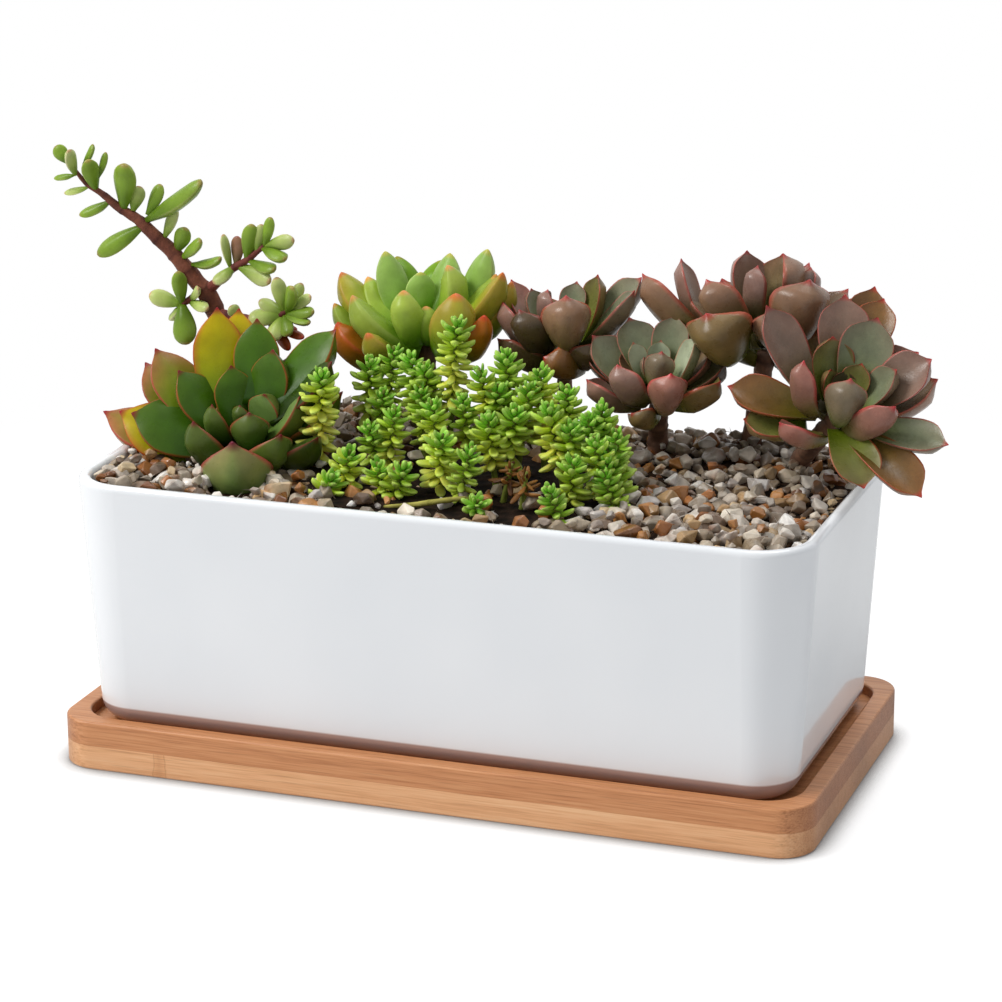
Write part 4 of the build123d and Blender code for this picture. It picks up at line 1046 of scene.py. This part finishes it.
kinds = [pebble_kind(draws) for _ in range(PEBBLE_KINDS)]
heaps = {group: Surface() for group in PEBBLE_GROUPS}
groups = list(PEBBLE_GROUPS)
weights = [PEBBLE_GROUPS[group][2] for group in groups]
lying = {}
for attempt in range(PEBBLE_TRIES):
    x = draws.uniform(-BED_HALF_LENGTH, BED_HALF_LENGTH)
    y = draws.uniform(-BED_HALF_WIDTH, BED_HALF_WIDTH)
    _, least, most = next(row for row in PEBBLE_SIZES if attempt < row[0] * PEBBLE_TRIES)
    size = draws.uniform(least, most)
    group = draws.choices(groups, weights)[0]
    colour = rgb(*draws.choice(PEBBLE_GROUPS[group][1]))
    # Painted shade: a stone's random lightness is darkened towards the back
    light = draws.uniform(*LIGHT) * (1 - BACK_SHADE * ease(y, *BACK_FADE))
    turn = Matrix.Rotation(draws.uniform(*STONE_TURN), 3, "Z")
    turn = turn @ Matrix.Rotation(draws.uniform(*STONE_TILT), 3, "X")
    stretch = Vector([draws.uniform(*ends) for ends in STRETCH])
    kind_points, kind_faces = draws.choice(kinds)
    lift = draws.uniform(*LIFT) * size / LIFT_SIZE
    stained = STAIN_MOST * ease(draws.random(), STAIN_FROM, 1.0)
    margin = size * WALL_MARGIN
    upper = attempt > UPPER_FROM * PEBBLE_TRIES
    if upper:
        size = draws.uniform(*UPPER_SIZES)
        lift = UPPER_LIFT
        margin = size * UPPER_MARGIN
    elif draws.random() < WALL_SHARE and size < WALL_STONE:
        proud = y > PROUD_FROM
        margin = size * (PROUD_MARGIN if proud else WALL_MARGIN)
        x, y = beside_wall(x, y, margin)
        if proud:
            lift = PROUD_LIFT - heaped(x, y)
    if not in_bed(x, y, WALL_SLACK * margin) or under_front_leaf(x, y):
        continue
    if on_crown(x, y) and draws.random() < CROWN_BARE:
        continue
    cell = (int(x // CELL), int(y // CELL), upper)
    around = [(cell[0] + i, cell[1] + j, upper) for i in (-1, 0, 1) for j in (-1, 0, 1)]
    near = [other for spot in around for other in lying.get(spot, ())]
    spacing = UPPER_SPACING if upper else SPACING
    if any((x - a) ** 2 + (y - b) ** 2 < (spacing * (size + r)) ** 2 for a, b, r in near):
        continue
    lying.setdefault(cell, []).append((x, y, size))
    place = Vector((x, y, floor_height(y) + heaped(x, y) + lift))
    heap = heaps[group]
    first = len(heap.points)
    for point in kind_points:
        spot = turn @ (point * stretch * size)
        patch = stained * ease(noise.noise((place + spot) * PATCH_SCALE), *PATCH_FADE)
        tone = blend(colour, STAIN, patch)
        # Painted shade tone: the darker the stone, the browner its colour
        heap.point(place + spot, tuple(channel * light**fade for channel, fade in zip(tone, SHADE_BROWNING)))
    heap.faces += [tuple(first + index for index in face) for face in kind_faces]
for group, (slot, _, _) in PEBBLE_GROUPS.items():
    heaps[group].piece("stones_" + group, stone_look, "planter", slot, "pebbles_" + group, smooth=False)

# Floor, world and lights, in metres
FLOOR_REACH = 3
# Painted contact shadow: grey of the floor's glow by how open it is within this reach, and where it fades to
# white
PAINTED_SHADOW_REACH = 0.008
PAINTED_SHADOW_GREYS = ((0.52, 0.1), (0.6, 0.38), (0.68, 0.66), (0.84, 1.0))
FADE_FROM, FADE_TO = 0.14, 0.3
AIM = (0, 0, 0.06)

mesh = bpy.data.meshes.new("floor")
corners = [(x * FLOOR_REACH, y * FLOOR_REACH, 0) for x, y in ((-1, -1), (1, -1), (1, 1), (-1, 1))]
mesh.from_pydata(corners, [], [(0, 1, 2, 3)])
floor = bpy.data.objects.new("floor", mesh)
scene.collection.objects.link(floor)
paper = bpy.data.materials.new("paper_floor")
paper.use_nodes = True
tree = paper.node_tree
tree.nodes.remove(tree.nodes["Principled BSDF"])
rays = put(tree, "LightPath")
plain = put(tree, "BsdfDiffuse", {"Color": (0.8, 0.8, 0.8, 1)})
seen = put(tree, "BsdfDiffuse", {"Color": (0.3, 0.3, 0.3, 1)})
# Painted shadow: the floor's glow greys close beside the tray
painted_shadow = put(tree, "AmbientOcclusion", {"Distance": PAINTED_SHADOW_REACH}, samples=8).outputs["AO"]
painted_shadow = ramp(tree, painted_shadow, [(openness, grey(level)) for openness, level in PAINTED_SHADOW_GREYS])
glow = put(tree, "Emission", {"Color": painted_shadow, "Strength": 0.85})
lit = put(tree, "AddShader", {0: seen.outputs[0], 1: glow.outputs[0]})
bright = put(tree, "Emission", {"Color": (1, 1, 1, 1), "Strength": 1.0})
place = put(tree, "TexCoord").outputs["Object"]
away = put(tree, "VectorMath", {0: place}, operation="LENGTH").outputs["Value"]
far = put(tree, "MapRange", {"Value": away, "From Min": FADE_FROM, "From Max": FADE_TO})
lit = put(tree, "MixShader", {0: far.outputs[0], 1: lit.outputs[0], 2: bright.outputs[0]})
direct = rays.outputs["Is Camera Ray"]
shown = put(tree, "MixShader", {0: direct, 1: plain.outputs[0], 2: lit.outputs[0]})
tree.links.new(shown.outputs[0], tree.nodes["Material Output"].inputs["Surface"])
mesh.materials.append(paper)

world = bpy.data.worlds.new("studio")
scene.world = world
world.use_nodes = True
tree = world.node_tree
rays = put(tree, "LightPath")
direct = math_node(tree, "MAXIMUM", rays.outputs["Is Camera Ray"], rays.outputs["Is Glossy Ray"])
direct = math_node(tree, "MAXIMUM", direct, rays.outputs["Is Transmission Ray"])
dim = put(tree, "Background", {"Color": (0.94, 0.97, 1, 1), "Strength": 0.45})
white = put(tree, "Background", {"Color": (1, 1, 1, 1), "Strength": 1.0})
sky = put(tree, "MixShader", {0: direct, 1: dim.outputs[0], 2: white.outputs[0]})
tree.links.new(sky.outputs[0], tree.nodes["World Output"].inputs["Surface"])


def area_light(name, place, size, power, colour):
    lamp = bpy.data.lights.new(name, "AREA")
    lamp.shape = "DISK"
    lamp.size = size
    lamp.energy = power
    lamp.color = colour
    made = bpy.data.objects.new(name, lamp)
    made.location = place
    made.rotation_euler = (Vector(AIM) - Vector(place)).to_track_quat("-Z", "Y").to_euler()
    scene.collection.objects.link(made)


area_light("key_light", (-0.55, -0.35, 0.7), 0.4, 5.8, (1, 0.98, 0.95))
area_light("top_light", (0.1, 0.25, 0.9), 0.5, 2.5, (1, 1, 1))

scene.view_settings.view_transform = "Standard"
